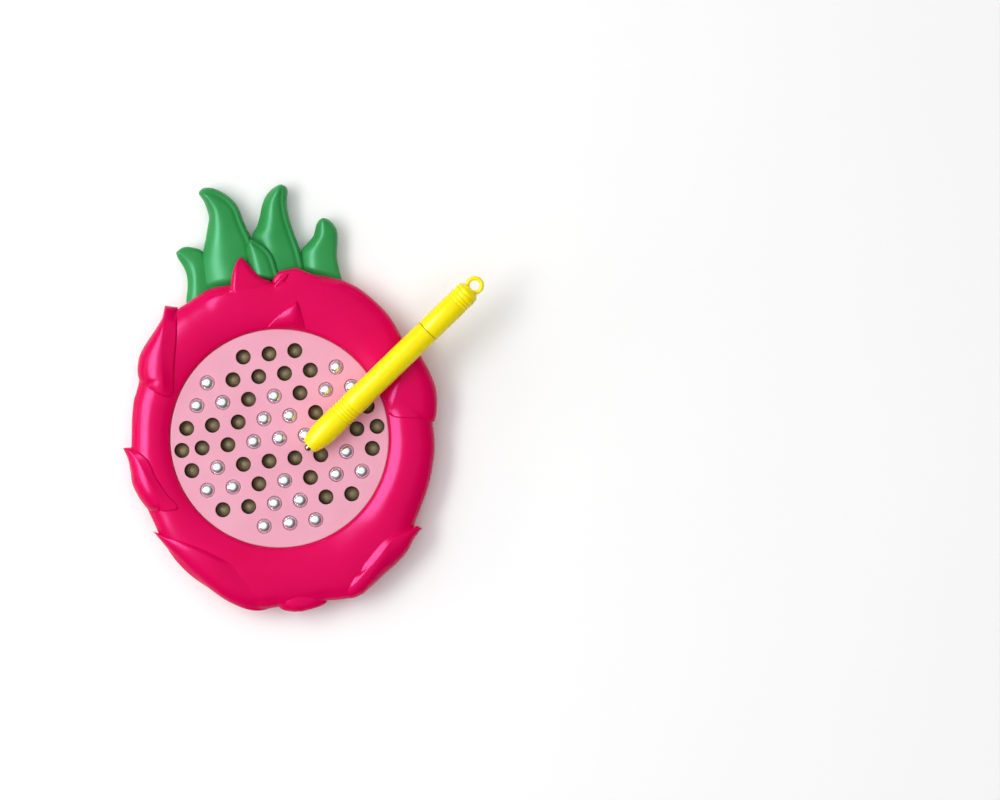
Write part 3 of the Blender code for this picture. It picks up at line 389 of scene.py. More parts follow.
# Balls: u is pushed up, d is down, row by row from the leaves
BALL_RADIUS = 3.0
BALL_PITCH = 10.0
ROW_PITCH = 8.2
OUTER_BALL_PLACE = 37.85
SUNK_BALL_HEIGHT = 6.35
SUNK_BALL_STEPS, RAISED_BALL_STEPS = 40, 64
BALL_ROWS = ("ddd", "uddddu", "uududuu", "ddduuddd", "ddduuuddd", "duddddud", "uududuu", "dduudd", "uuu")
WINDOW_RADIUS = 2.9
WINDOW_ROUND = 0.16
WINDOW_ROUND_STEPS = 5
WINDOW_STEPS = 40
CELL_BOTTOM, CELL_TOP = 3.8, 9.9
CELL_RADIUS, CELL_MOUTH_RADIUS = 3.15, 3.3
CELL_FLARE = 0.3
CELL_STEPS = 32
BACKING_BOTTOM, BACKING_TOP = 2.3, 3.5

# Pen: where its nose is and how it lies, then radii and distances from the nose, in millimetres
PEN_NOSE = (11.2, -4.4, 17.860)
PEN_ANGLE = math.radians(37.1)
PEN_TILT = math.radians(4.429)
PEN_STEPS = 96
POINT_STEPS = 48
NOSE_MOUTH = 2.9
NOSE_ROUND = 0.5
NOSE_ROUND_STEPS = 6
NOSE_LENGTH = 9.0
NOSE_STEPS, NOSE_FULLNESS = 14, 0.9
GRIP_RADIUS = 5.0
GRIP_GROOVES = (16.5, 5)  # the first one's place, and how many
GRIP_END = 27.0
BARREL_RADIUS = 4.75
BARREL_START, BARREL_END = 33.0, 63.7
UPPER_START, UPPER_END = 64.0, 84.0
UPPER_GROOVES = (79.0, 3)
END_RADIUS = 4.6
SEAM_INSET, SEAM_LENGTH = 0.09, 0.3
GROOVE_PITCH, GROOVE_DEPTH = 1.4, 0.3
# Shares of the pitch and of the depth
GROOVE = ((0.0, 0), (0.12, 0.25), (0.25, 0.85), (0.375, 1), (0.5, 0.85), (0.63, 0.25), (0.75, 0))
LOWER_BORE = [(3.6, 63.7), (3.6, 15.6), (2.8, 15.6), (2.8, 3.0), (1.4, 3.0), (1.4, 0.0)]
UPPER_BORE = [(2.6, 84.0), (2.6, 58.0), (3.3, 58.0), (3.3, 64.0)]
# Radius, place and rounding
PLUG = (
    (0.0, 86.9, 0), (3.0, 86.9, 0.5), (4.6, 85.2, 0.5), (4.6, 84.04, 0.12),
    (2.3, 84.04, 0), (2.3, 78.3, 0.2), (0.0, 78.3, 0),
)
POINT = ((0.0, 3.0, 0), (1.3, 3.0, 0.1), (1.3, -1.9, 0.95), (0.0, -1.9, 0))
MAGNET = ((0.0, 15.3, 0), (2.5, 15.3, 0.3), (2.5, 3.3, 0.3), (0.0, 3.3, 0))
EYELET_RADIUS = 2.75
EYELET_WIRE = 0.85
EYELET_STEPS, EYELET_WIRE_STEPS = 72, 24
EYELET_PLACE = 88.8

# Finishes: colour and cloud colour, scales of cloud and grain, roughness from and to, relief, then other
# sockets
FINISHES = {
    "magenta_plastic": (
        ((214, 0, 77), (218, 0, 82)), (45, 320), (0.20, 0.25), 0.01,
        {"Specular IOR Level": 0.16, "Specular Tint": (0.9, 0.34, 1.0, 1.0)},
    ),
    "pink_plastic": (
        ((228, 158, 180), (231, 163, 184)), (60, 400), (0.36, 0.42), 0.01, {"Specular IOR Level": 0.15},
    ),
    "green_plastic": (
        ((43, 140, 67), (52, 149, 77)), (50, 320), (0.36, 0.41), 0.01,
        {"Specular IOR Level": 0.25, "Specular Tint": (0.45, 1.0, 0.8, 1.0)},
    ),
    "yellow_plastic": (
        ((255, 236, 8), (254, 229, 5)), (60, 320), (0.26, 0.31), 0.01,
        {"Specular IOR Level": 0.4, "Specular Tint": (1.0, 0.95, 0.35, 1.0)},
    ),
    # Cells and backing plate: a dark moulding whose olive-brown is partly painted shade of the deep ball
    # windows
    "dark_cell_plastic_and_painted_shade": (((158, 140, 108), (140, 124, 94)), (80, 1200), (0.5, 0.6), 0.08, {}),
    # Balls that are down: steel coloured a dull olive-brown, which is painted shade of their deep windows
    "shade_painted_ball_steel": (((160, 144, 108), (140, 126, 94)), (420, 1500), (0.42, 0.55), 0.06, {}),
    "polished_steel": (
        ((232, 236, 238), (224, 229, 232)), (200, 2500), (0.08, 0.13), 0.01, {"Metallic": 0.9},
    ),
    # The pen's point: steel in a dark colour that is painted shade
    "shade_painted_point_steel": (
        ((112, 106, 96), (92, 88, 80)), (400, 1200), (0.22, 0.34), 0.02, {"Metallic": 1.0},
    ),
    "zinc_plate": (((168, 168, 164), (150, 150, 150)), (300, 2500), (0.3, 0.42), 0.05, {"Metallic": 1.0}),
    "pale_floor": (
        ((250, 250, 250), (252, 252, 252)), (3, 200), (0.75, 0.85), 0.0, {"Specular IOR Level": 0.2},
    ),
}
GRAIN_INPUTS = ("Colour", "Cloud Colour", "Cloud Scale", "Grain Scale", "Roughness Low", "Roughness High")
GRAIN_OUTPUTS = ("Colour", "Roughness", "Height")
RELIEF_DEPTH = 0.0001

# Floor, in millimetres, and sky: direction, reach of its cosine, brightness from and to
FLOOR_SIZE = 3000.0
FLOOR_DROP = 0.2
SKY_WALLS = ((-0.50, 0.45, 0.60), (-0.60, 0.80), (0.10, 0.44))
SKY_CEILING = ((-0.20, 0.16, 0.967), (0.56, 0.74), (0.0, 1.0))
SKY_STRENGTH = 0.84

# Camera: place in millimetres, the photograph's turn of the board, lens and sensor
VIEW_CENTRE = (86.06, 4.25)
VIEW_HEIGHT = 2152.1
VIEW_ROLL = math.radians(7.05)
LENS = 200.0
SENSOR_WIDTH = 36.0
CLIP_START = 0.01


def hermite(start, end, slope_start, slope_end, t):
    """Part of the way along a cubic curve between two values with given slopes."""
    return (
        start * (2 * t**3 - 3 * t**2 + 1)
        + slope_start * (t**3 - 2 * t**2 + t)
        + end * (3 * t**2 - 2 * t**3)
        + slope_end * (t**3 - t**2)
    )


def outline_table():
    """The outline's angles and radii, in rising angle, wrapped at both ends."""
    polar = sorted((math.atan2(y, x) % math.tau, math.hypot(x, y)) for x, y in OUTLINE)
    before = [(angle - math.tau, radius) for angle, radius in polar[-3:]]
    after = [(angle + math.tau, radius) for angle, radius in polar[:3]]
    return list(zip(*(before + polar + after)))


ANGLES, RADII = outline_table()


def outline_radius(angle):
    """Radius of the casing at an angle, on a smooth closed curve through the outline's points."""
    angle %= math.tau
    k = bisect.bisect_right(ANGLES, angle) - 1
    span = ANGLES[k + 1] - ANGLES[k]
    slope_start = (RADII[k + 1] - RADII[k - 1]) / (ANGLES[k + 1] - ANGLES[k - 1]) * span
    slope_end = (RADII[k + 2] - RADII[k]) / (ANGLES[k + 2] - ANGLES[k]) * span
    return hermite(RADII[k], RADII[k + 1], slope_start, slope_end, (angle - ANGLES[k]) / span)


def firmness(x, y):
    """How squarely the ring's shoulder falls: 1 between the upper bracts, 0 elsewhere."""
    angle = math.degrees(math.atan2(y, x))
    return smooth((angle - FIRM_START) / FIRM_START_BLEND) * smooth((FIRM_END - angle) / FIRM_END_BLEND)


def ring_height(t, firm=0.0):
    """Height of the puffy ring, from the panel's opening (0) to the outline (1)."""
    if t <= CREST_SHARE:
        inner = max(t, 0) / CREST_SHARE
        swell = (CREST_HEIGHT - RIM_HEIGHT - RIM_ROLL) * math.sin(inner * math.pi / 2)
        return RIM_HEIGHT + RIM_ROLL * bulge(inner / RIM_ROLL_SHARE) + swell
    fall = min((t - CREST_SHARE) / (1 - CREST_SHARE), 1)
    power = ROUND_POWER + FIRM_POWER * firm
    return EDGE_HEIGHT + (CREST_HEIGHT - EDGE_HEIGHT) * (1 - fall**power) ** (1 / power)


def ring_share(x, y):
    """Share of the ring's width between the opening and a place."""
    return (math.hypot(x, y) - OPENING_RADIUS) / (outline_radius(math.atan2(y, x)) - OPENING_RADIUS)


def ring_surface(x, y):
    """Height of the ring at a place."""
    return ring_height(ring_share(x, y), firmness(x, y))


def smooth(t):
    """Rises from 0 to 1 with a level start and end."""
    t = min(max(t, 0), 1)
    return t * t * (3 - 2 * t)


def bulge(t):
    """Rises from 0 to 1 like a quarter circle."""
    return math.sqrt(1 - (1 - min(max(t, 0), 1)) ** 2)


def quarter_arc(steps):
    """Sine and cosine of evenly spaced angles from 0 to a right angle."""
    swings = [math.radians(90 * step / steps) for step in range(steps + 1)]
    return [(math.sin(swing), math.cos(swing)) for swing in swings]


def smooth_path(points, count):
    """Points evenly spaced by length on a smooth curve through a list of points."""
    points = [Vector(p) for p in points]
    fine = []
    for k in range(len(points) - 1):
        a = points[max(k - 1, 0)]
        b, c = points[k], points[k + 1]
        d = points[min(k + 2, len(points) - 1)]
        for step in range(PATH_STEPS):
            t = step / PATH_STEPS
            fine.append(hermite(b, c, (c - a) / 2, (d - b) / 2, t))
    fine.append(points[-1])
    lengths = [0.0]
    for a, b in zip(fine, fine[1:]):
        lengths.append(lengths[-1] + (b - a).length)
    path = []
    for step in range(count):
        want = lengths[-1] * step / (count - 1)
        k = min(bisect.bisect_right(lengths, want), len(lengths) - 1)
        span = lengths[k] - lengths[k - 1]
        path.append(fine[k - 1].lerp(fine[k], (want - lengths[k - 1]) / span))
    return path


def new_object(name, shape, material, smooth_angle=None):
    """Makes the finished object from a bmesh in millimetres."""
    bmesh.ops.scale(shape, vec=(MM, MM, MM), verts=shape.verts)
    mesh = bpy.data.meshes.new(name)
    shape.to_mesh(mesh)
    shape.free()
    obj = bpy.data.objects.new(name, mesh)
    bpy.context.scene.collection.objects.link(obj)
    if material:
        mesh.materials.append(material)
    mesh.shade_smooth()
    if smooth_angle:
        mesh.set_sharp_from_angle(angle=math.radians(smooth_angle))
    return obj


def apply_modifiers(obj):
    """Keeps an object's shape with its modifiers as plain mesh."""
    graph = bpy.context.evaluated_depsgraph_get()
    mesh = bpy.data.meshes.new_from_object(obj.evaluated_get(graph))
    obj.modifiers.clear()
    obj.data = mesh


def cut(obj, shape, operation="DIFFERENCE"):
    """Cuts one closed shape out of another, or joins it, and keeps the result as plain mesh."""
    cutter = new_object(obj.name + "_cutter", shape, None)
    modifier = obj.modifiers.new("cut", "BOOLEAN")
    modifier.operation = operation
    modifier.solver = "EXACT"
    modifier.object = cutter
    apply_modifiers(obj)
    bpy.data.objects.remove(cutter, do_unlink=True)


def spun(profile, steps, closed=False):
    """A turned shape: radius and height points, spun round Z."""
    shape = bmesh.new()
    verts = [shape.verts.new((radius, 0.0, height)) for radius, height in profile]
    pairs = list(zip(verts, verts[1:]))
    if closed:
        pairs.append((verts[-1], verts[0]))
    edges = [shape.edges.new(pair) for pair in pairs]
    bmesh.ops.spin(
        shape,
        geom=verts + edges,
        cent=(0, 0, 0),
        axis=(0, 0, 1),
        angle=math.tau,
        steps=steps,
        use_merge=True,
    )
    bmesh.ops.remove_doubles(shape, verts=shape.verts, dist=TURN_MERGE)
    bmesh.ops.recalc_face_normals(shape, faces=shape.faces)
    return shape


def fillet(corner, start, end, radius, steps):
    """Points of a round corner, from the side of start to the side of end."""
    corner = Vector(corner)
    to_start = (Vector(start) - corner).normalized()
    to_end = (Vector(end) - corner).normalized()
    half = to_start.angle(to_end) / 2
    reach = radius / math.tan(half)
    centre = corner + (to_start + to_end).normalized() * (radius / math.sin(half))
    first = corner + to_start * reach - centre
    last = corner + to_end * reach - centre
    turn = first.angle(last)
    points = []
    for step in range(steps + 1):
        t = step / steps
        swung = (first * math.sin((1 - t) * turn) + last * math.sin(t * turn)) / math.sin(turn)
        points.append(tuple(centre + swung))
    return points


def rounded(corners, steps=5):
    """A profile of radius and height from corners that each have a rounding, 0 at both ends."""
    points = [corner[:2] for corner in corners]
    result = []
    for k, corner in enumerate(corners):
        if corner[2]:
            result += fillet(points[k], points[k - 1], points[k + 1], corner[2], steps)
        else:
            result.append(points[k])
    return result


def move(shape, x, y, z):
    """Moves a whole bmesh."""
    bmesh.ops.translate(shape, verts=shape.verts, vec=(x, y, z))


def add_shape(target, extra):
    """Moves one bmesh into another."""
    mesh = bpy.data.meshes.new("extra")
    extra.to_mesh(mesh)
    extra.free()
    target.from_mesh(mesh)
    bpy.data.meshes.remove(mesh)


def follow_outline(shape):
    """Stretches a turned ring so that its outer radius follows the casing's outline."""
    for vert in shape.verts:
        x, y, z = vert.co
        angle = math.atan2(y, x)
        radius = math.hypot(x, y)
        if radius <= OPENING_RADIUS:
            continue
        t = (radius - OPENING_RADIUS) / (TURNED_RADIUS - OPENING_RADIUS)
        outer = outline_radius(angle)
        if WALL_START < t < WALL_END and z < WALL_TOP:
            new = outer - (TURNED_RADIUS - radius)
        else:
            new = OPENING_RADIUS + t * (outer - OPENING_RADIUS)
        if abs(z - ring_height(t)) < ON_SURFACE:
            z = ring_height(t, firmness(x, y))
        vert.co = (new * math.cos(angle), new * math.sin(angle), z)


def ring_shape():
    """The casing front without its bracts."""
    profile = [(FLANGE_RADIUS + FIT_GAP, REBATE_HEIGHT), (OPENING_RADIUS, REBATE_HEIGHT)]
    profile += [(OPENING_RADIUS + out, RIM_HEIGHT - down) for out, down in RIM_FOOT]
    shares = [CREST_SHARE * (step / INNER_STEPS) ** INNER_SPREAD for step in range(1, INNER_STEPS + 1)]
    for step in range(1, OUTER_STEPS + 1):
        shares.append(CREST_SHARE + (1 - CREST_SHARE) * math.sin(step / OUTER_STEPS * math.pi / 2))
    width = TURNED_RADIUS - OPENING_RADIUS
    profile += [(OPENING_RADIUS + t * width, ring_height(t)) for t in shares]
    profile.append((TURNED_RADIUS, EDGE_HEIGHT - EDGE_BAND))
    profile += [(TURNED_RADIUS - inset, PARTING_HEIGHT + rise) for inset, rise in PARTING_ROUND]
    shape = spun(profile + FRONT_VAULT, RING_STEPS, closed=True)
    follow_outline(shape)
    return shape


def along(values, share):
    """Smooth value part of the way through an evenly spaced list."""
    place = min(max(share, 0), 1) * (len(values) - 1)
    k = min(int(place), len(values) - 2)
    before, after = values[max(k - 1, 0)], values[min(k + 2, len(values) - 1)]
    slope_start, slope_end = (values[k + 1] - before) / 2, (after - values[k]) / 2
    return hermite(values[k], values[k + 1], slope_start, slope_end, place - k)


def leafy_patch(curves, columns, rows, place):
    """A grid laid between curves from side to side, each vertex then moved by place."""
    shape = bmesh.new()
    bmesh.ops.create_grid(shape, x_segments=columns, y_segments=rows, size=1.0)
    levels = sorted({round(vert.co.y, 5) for vert in shape.verts})
    order = {level: k for k, level in enumerate(levels)}
    paths = [smooth_path(curve, len(levels)) for curve in curves]
    for vert in shape.verts:
        k = order[round(vert.co.y, 5)]
        u = k / (len(levels) - 1)
        v = 0.5 - 0.5 * math.cos(math.pi * (vert.co.x + 1) / 2)
        vert.co = place([path[k] for path in paths], u, v)
    return shape


def close_below(shape, foot):
    """Drops the patch's border to a foot and closes it there."""
    border = [edge for edge in shape.edges if edge.is_boundary]
    pulled = bmesh.ops.extrude_edge_only(shape, edges=border)["geom"]
    new_edges = [item for item in pulled if isinstance(item, bmesh.types.BMEdge)]
    for item in pulled:
        if isinstance(item, bmesh.types.BMVert):
            item.co.z = foot(item.co)
    bmesh.ops.contextual_create(shape, geom=[edge for edge in new_edges if edge.is_boundary])
    bmesh.ops.remove_doubles(shape, verts=shape.verts, dist=PATCH_MERGE)
    bmesh.ops.recalc_face_normals(shape, faces=shape.faces)
    return shape


def bract_foot(point):
    """Height of a bract's foot: inside the casing's wall, or over the panel's flange."""
    return BRACT_FOOT if math.hypot(point.x, point.y) > BRACT_INNER_RADIUS else BRACT_INNER_FOOT


def bract_shape(left, fold, right, crest, arch, lip, soft, edge=2.0, open_base=False):
    """A bract that swells over the ring, with its border dropped into it."""

    def place(points, u, v):
        border = points[0] if v < 0.5 else points[2]
        out = abs(2 * v - 1)
        point = points[1].lerp(border, out)
        base = max(ring_surface(point.x, point.y), BRACT_EDGE)
        beyond = smooth((ring_share(border.x, border.y) - BEYOND_START) / BEYOND_BLEND)
        rest = ring_surface(border.x, border.y)
        rest += (BRACT_EDGE - rest) * beyond
        side = arch[int(v >= 0.5)]
        power = side + (edge - side) * beyond
        root = 1 + (1 / edge - 1) * beyond
        puff = rest + (along(crest, u) - rest) * (1 - out**power) ** root
        rise = 0.5 * (puff - base + math.hypot(puff - base, BRACT_BLEND))
        start = smooth(u / soft) if soft > QUICK_START else bulge(u / soft)
        stand = (lip[0] + (lip[1] - lip[0]) * smooth(v)) * start
        stand *= bulge((point - border).length / LIP_WIDTH)
        if not open_base:
            rise *= start
        sink = BRACT_SINK + BRACT_BASE_SINK * (1 - start)
        return Vector((point.x, point.y, base + (rise + stand) * bulge((1 - u) / BRACT_TIP) - sink))

    return close_below(leafy_patch((left, fold, right), BRACT_COLUMNS, BRACT_ROWS, place), bract_foot)


def make_casing_front(material):
    shape = ring_shape()
    for bract in BRACTS:
        add_shape(shape, bract_shape(**bract))
    obj = new_object("casing_front", shape, material, MOULDED_ANGLE)
    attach(obj, "case")
    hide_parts("front_shell")


def arc_band(outer_inset, inner_inset, start, end, bottom, top):
    """A band inside the casing's outline, between two insets and two angles."""
    shape = bmesh.new()
    rim = []
    for inset, order in ((outer_inset, 1), (inner_inset, -1)):
        for step in range(ARC_STEPS + 1)[::order]:
            angle = start + (end - start) * step / ARC_STEPS
            radius = outline_radius(angle) - inset
            rim.append(shape.verts.new((radius * math.cos(angle), radius * math.sin(angle), bottom)))
    face = shape.faces.new(rim)
    pulled = bmesh.ops.extrude_face_region(shape, geom=[face])
    moved = [item for item in pulled["geom"] if isinstance(item, bmesh.types.BMVert)]
    bmesh.ops.translate(shape, verts=moved, vec=(0, 0, top - bottom))
    bmesh.ops.recalc_face_normals(shape, faces=shape.faces)
    return shape


def cylinder(radius, bottom, top, place, steps=32):
    """An upright cylinder over a place."""
    shape = bmesh.new()
    middle = Matrix.Translation((place[0], place[1], (top + bottom) / 2))
    bmesh.ops.create_cone(
        shape,
        cap_ends=True,
        segments=steps,
        radius1=radius,
        radius2=radius,
        depth=top - bottom,
        matrix=middle,
    )
    return shape


def screw_places():
    """Places of the case screws round the back."""
    angles = [math.radians(SCREW_START + 360 * k / SCREW_COUNT) for k in range(SCREW_COUNT)]
    return [(SCREW_CIRCLE * math.cos(angle), SCREW_CIRCLE * math.sin(angle)) for angle in angles]


def finish_cut(obj, material, angle, even=True):
    """Gives a cut object one material and sharp edges, and shades its wide faces flat if even."""
    obj.data.materials.clear()
    obj.data.materials.append(material)
    obj.data.shade_smooth()
    obj.data.set_sharp_from_angle(angle=math.radians(angle))
    if even:
        obj.modifiers.new("even_shading", "WEIGHTED_NORMAL").keep_sharp = True


def make_casing_rear(material):
    profile = [(0.0, 0.0)]
    for sin, cos in quarter_arc(REAR_CORNER_STEPS):
        profile.append((TURNED_RADIUS - REAR_CORNER * (1 - sin), REAR_CORNER * (1 - cos)))
    profile += [(TURNED_RADIUS - inset, REAR_TOP - drop) for inset, drop in PARTING_ROUND]
    profile += [(LIP_RADIUS, REAR_TOP), (LIP_RADIUS, LIP_TOP), (TRAY_RADIUS, LIP_TOP)]
    profile += [(TRAY_RADIUS, BACK_THICKNESS), (0.0, BACK_THICKNESS)]
    shape = spun(profile, RING_STEPS)
    for vert in shape.verts:
        x, y, z = vert.co
        radius = math.hypot(x, y)
        if radius > CENTRE_RADIUS:
            angle = math.atan2(y, x)
            new = outline_radius(angle) - (TURNED_RADIUS - radius)
            vert.co = (new * math.cos(angle), new * math.sin(angle), z)
    obj = new_object("casing_rear", shape, material)
    for place in screw_places():
        cut(obj, cylinder(*SCREW_POST, place), "UNION")
        cut(obj, cylinder(*SCREW_RECESS, place))
        cut(obj, cylinder(*SCREW_HOLE, place))
    slot_start, slot_end = CROWN_START - SLOT_PLAY, CROWN_END + SLOT_PLAY
    cut(obj, arc_band(-CUT_OVERRUN, CROWN_INSET, slot_start, slot_end, SLOT_BOTTOM, SLOT_TOP))
    finish_cut(obj, material, CRISP_ANGLE, even=False)
    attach(obj, "case")
    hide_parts("rear_shell")


def leaf_shape(side, left, right, lift, thick, bead):
    """Half of one leaf, above (1) or below (-1) the crown's seam."""
    seam = SEAM_HEIGHT + side * HALF_SEAM

    def place(points, u, v):
        point = points[0].lerp(points[1], v)
        width = (points[1] - points[0]).length
        clear = math.hypot(point.x, point.y) - outline_radius(math.atan2(point.y, point.x))
        grown = smooth((clear - GROWTH_START) / GROWTH_LENGTH)
        most = ROOT_THICKNESS + (thick - ROOT_THICKNESS) * grown
        most = min(most, ROOT_THICKNESS + SPARE_THICKNESS + width * WIDTH_SHARE)
        inside = (1 - v) * width
        if v < LEAF_RIDGE:
            height = most * (1 - (1 - v / LEAF_RIDGE) ** LEAF_SWELL_POWER)
        else:
            fall = (v - LEAF_RIDGE) / (1 - LEAF_RIDGE)
            height = most * (1 - LEAF_FALL * fall**LEAF_FALL_POWER) * bulge(inside / LEAF_EDGE)
        if bead and side > 0:
            groove = math.exp(-(((inside - BEAD_INSET) / BEAD_WIDTH) ** 2))
            height -= BEAD_DEPTH * grown * groove * smooth(width / BEAD_FADE_WIDTH)
        z = height * bulge((1 - u) / LEAF_TIP)
        if side > 0:
            z += lift * grown * bulge(min(v, 1 - v) * width / LIFT_EDGE)
        return Vector((point.x, point.y, seam + side * max(z, 0)))

    return close_below(leafy_patch((left, right), LEAF_COLUMNS, LEAF_ROWS, place), lambda point: seam)


def make_leaf_half(name, side, node, material):
    """The five leaves' front (1) or rear (-1) half, on its half of the root plate."""
    seam = SEAM_HEIGHT + side * HALF_SEAM
    rim = SEAM_HEIGHT + side * ROOT_THICKNESS
    shape = arc_band(0.0, CROWN_INSET, CROWN_START, CROWN_END, min(seam, rim), max(seam, rim))
    low, high = (seam, PARTING_HEIGHT) if side > 0 else (CROWN_BOTTOM, seam)
    lap_start, lap_end = CROWN_START - LAP_ANGLE, CROWN_END + LAP_ANGLE
    add_shape(shape, arc_band(LAP_INSET, CROWN_INSET, lap_start, lap_end, low, high))
    for leaf in LEAVES:
        add_shape(shape, leaf_shape(side, **leaf))
    obj = new_object(name, shape, material, MOULDED_ANGLE)
    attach(obj, "case")
    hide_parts(node)


def ball_places():
    """Place and state of every ball."""
    places = []
    for index, row in enumerate(BALL_ROWS):
        y = (len(BALL_ROWS) // 2 - index) * ROW_PITCH
        for order, state in enumerate(row):
            x = (order - (len(row) - 1) / 2) * BALL_PITCH
            if abs(x) > OUTER_BALL_PLACE:
                x = math.copysign(OUTER_BALL_PLACE, x)
            places.append((x, y, state))
    return places


def add_ball(shape, place, steps):
    """A ball at a place, with half as many rings as steps round it."""
    matrix = Matrix.Translation(place)
    bmesh.ops.create_uvsphere(
        shape, u_segments=steps, v_segments=steps // 2, radius=BALL_RADIUS, matrix=matrix
    )


def window_cutters(profile, steps):
    """One flared cutter for each ball's place."""
    shape = bmesh.new()
    for x, y, _ in ball_places():
        tool = spun(profile, steps)
        move(tool, x, y, 0)
        add_shape(shape, tool)
    return shape


def make_panel(material):
    profile = [(0.0, PANEL_TOP)]
    for sin, cos in quarter_arc(PANEL_ROUND_STEPS):
        profile.append((PANEL_RADIUS - PANEL_ROUND * (1 - sin), PANEL_TOP - PANEL_ROUND * (1 - cos)))
    inner = PANEL_RADIUS - PANEL_WALL
    profile += [(PANEL_RADIUS, FLANGE_TOP), (FLANGE_RADIUS, FLANGE_TOP), (FLANGE_RADIUS, FLANGE_BOTTOM)]
    profile += [(inner, FLANGE_BOTTOM), (inner, PANEL_UNDERSIDE), (0.0, PANEL_UNDERSIDE)]
    obj = new_object("panel", spun(profile, PANEL_STEPS), material)
    bottom, top = PANEL_UNDERSIDE - CUT_OVERRUN, PANEL_TOP + CUT_OVERRUN
    tool = [(0.0, bottom), (WINDOW_RADIUS, bottom)]
    for sin, cos in quarter_arc(WINDOW_ROUND_STEPS):
        tool.append((WINDOW_RADIUS + WINDOW_ROUND * (1 - cos), PANEL_TOP - WINDOW_ROUND * (1 - sin)))
    tool += [(WINDOW_RADIUS + WINDOW_ROUND, top), (0.0, top)]
    cut(obj, window_cutters(tool, WINDOW_STEPS))
    finish_cut(obj, material, PLATE_ANGLE)
    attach(obj, "case")
    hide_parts("face_panel")


def make_cells(material):
    obj = new_object("cells", cylinder(FLANGE_RADIUS, CELL_BOTTOM, CELL_TOP, (0, 0), PLATE_STEPS), material)
    bottom, top = CELL_BOTTOM - CUT_OVERRUN, CELL_TOP + CUT_OVERRUN
    tool = [(0.0, bottom), (CELL_RADIUS, bottom), (CELL_RADIUS, CELL_TOP - CELL_FLARE)]
    tool += [(CELL_MOUTH_RADIUS, CELL_TOP), (CELL_MOUTH_RADIUS, top), (0.0, top)]
    cut(obj, window_cutters(tool, CELL_STEPS))
    finish_cut(obj, material, PLATE_ANGLE)
    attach(obj, "case")
    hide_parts("cell_plate")


def make_backing(plate_material, ball_material):
    """The backing plate, and the balls that are down on it."""
    shape = cylinder(FLANGE_RADIUS, BACKING_BOTTOM, BACKING_TOP, (0, 0), PLATE_STEPS)
    obj = new_object("backing", shape, plate_material, CRISP_ANGLE)
    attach(obj, "case")
    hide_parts("backing_plate")
    shape = bmesh.new()
    for x, y, state in ball_places():
        if state == "d":
            add_ball(shape, (x, y, SUNK_BALL_HEIGHT), SUNK_BALL_STEPS)
    balls = new_object("balls_down", shape, ball_material)
    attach(balls, "case")


def make_raised_balls(material):
    raised = [(x, y) for x, y, state in ball_places() if state == "u"]
    for number, (x, y) in enumerate(raised, start=1):
        low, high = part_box("raised_ball_%02d" % number)
        centre = (Vector(low) + Vector(high)) / 2 / MM
        shape = bmesh.new()
        add_ball(shape, (x, y, centre.z), RAISED_BALL_STEPS)
        obj = new_object("ball_up_%02d" % number, shape, material)
        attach(obj, "ball_%02d" % number)
        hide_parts("raised_ball_%02d" % number)


def pen_matrix():
    """Turns the pen's own axis, up from its nose, to where the pen lies."""
    cos_a, sin_a = math.cos(PEN_ANGLE), math.sin(PEN_ANGLE)
    axis = Vector((cos_a * math.cos(PEN_TILT), sin_a * math.cos(PEN_TILT), math.sin(PEN_TILT)))
    side = Vector((-sin_a, cos_a, 0.0))
    turn = Matrix((side, axis.cross(side), axis)).transposed().to_4x4()
    return Matrix.Translation(PEN_NOSE) @ turn


def pen_piece(name, shape, node, material):
    bmesh.ops.transform(shape, matrix=pen_matrix(), verts=shape.verts)
    obj = new_object(name, shape, material, CRISP_ANGLE)
    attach(obj, "pen")
    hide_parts(node)


def groove_points(start, count, radius):
    """A row of grooves round a barrel, as points of its profile."""
    points = []
    for step in range(count):
        low = start + step * GROOVE_PITCH
        points += [(radius - GROOVE_DEPTH * drop, low + GROOVE_PITCH * share) for share, drop in GROOVE]
    return points


def lower_barrel_shape():
    """The barrel that is held, with its rounded nose and grip."""
    nose = quarter_arc(NOSE_ROUND_STEPS)
    outer = [(NOSE_MOUTH + NOSE_ROUND * sin, NOSE_ROUND * (1 - cos)) for sin, cos in nose]
    neck = NOSE_MOUTH + NOSE_ROUND
    for step in range(1, NOSE_STEPS + 1):
        t = step / NOSE_STEPS
        radius = neck + (GRIP_RADIUS - neck) * math.sin(t * math.pi / 2) ** NOSE_FULLNESS
        outer.append((radius, NOSE_ROUND + (NOSE_LENGTH - NOSE_ROUND) * t))
    outer += groove_points(*GRIP_GROOVES, GRIP_RADIUS)
    outer += [(GRIP_RADIUS, GRIP_END), (BARREL_RADIUS, BARREL_START)]
    outer += [(BARREL_RADIUS, BARREL_END - SEAM_LENGTH), (BARREL_RADIUS - SEAM_INSET, BARREL_END)]
    return spun(outer + LOWER_BORE, PEN_STEPS, closed=True)


def upper_barrel_shape():
    """The barrel between the seam and the end plug."""
    outer = [(BARREL_RADIUS - SEAM_INSET, UPPER_START), (BARREL_RADIUS, UPPER_START + SEAM_LENGTH)]
    outer += groove_points(*UPPER_GROOVES, BARREL_RADIUS)
    outer += [(BARREL_RADIUS, UPPER_END - SEAM_LENGTH), (END_RADIUS, UPPER_END)]
    return spun(outer + UPPER_BORE, PEN_STEPS, closed=True)


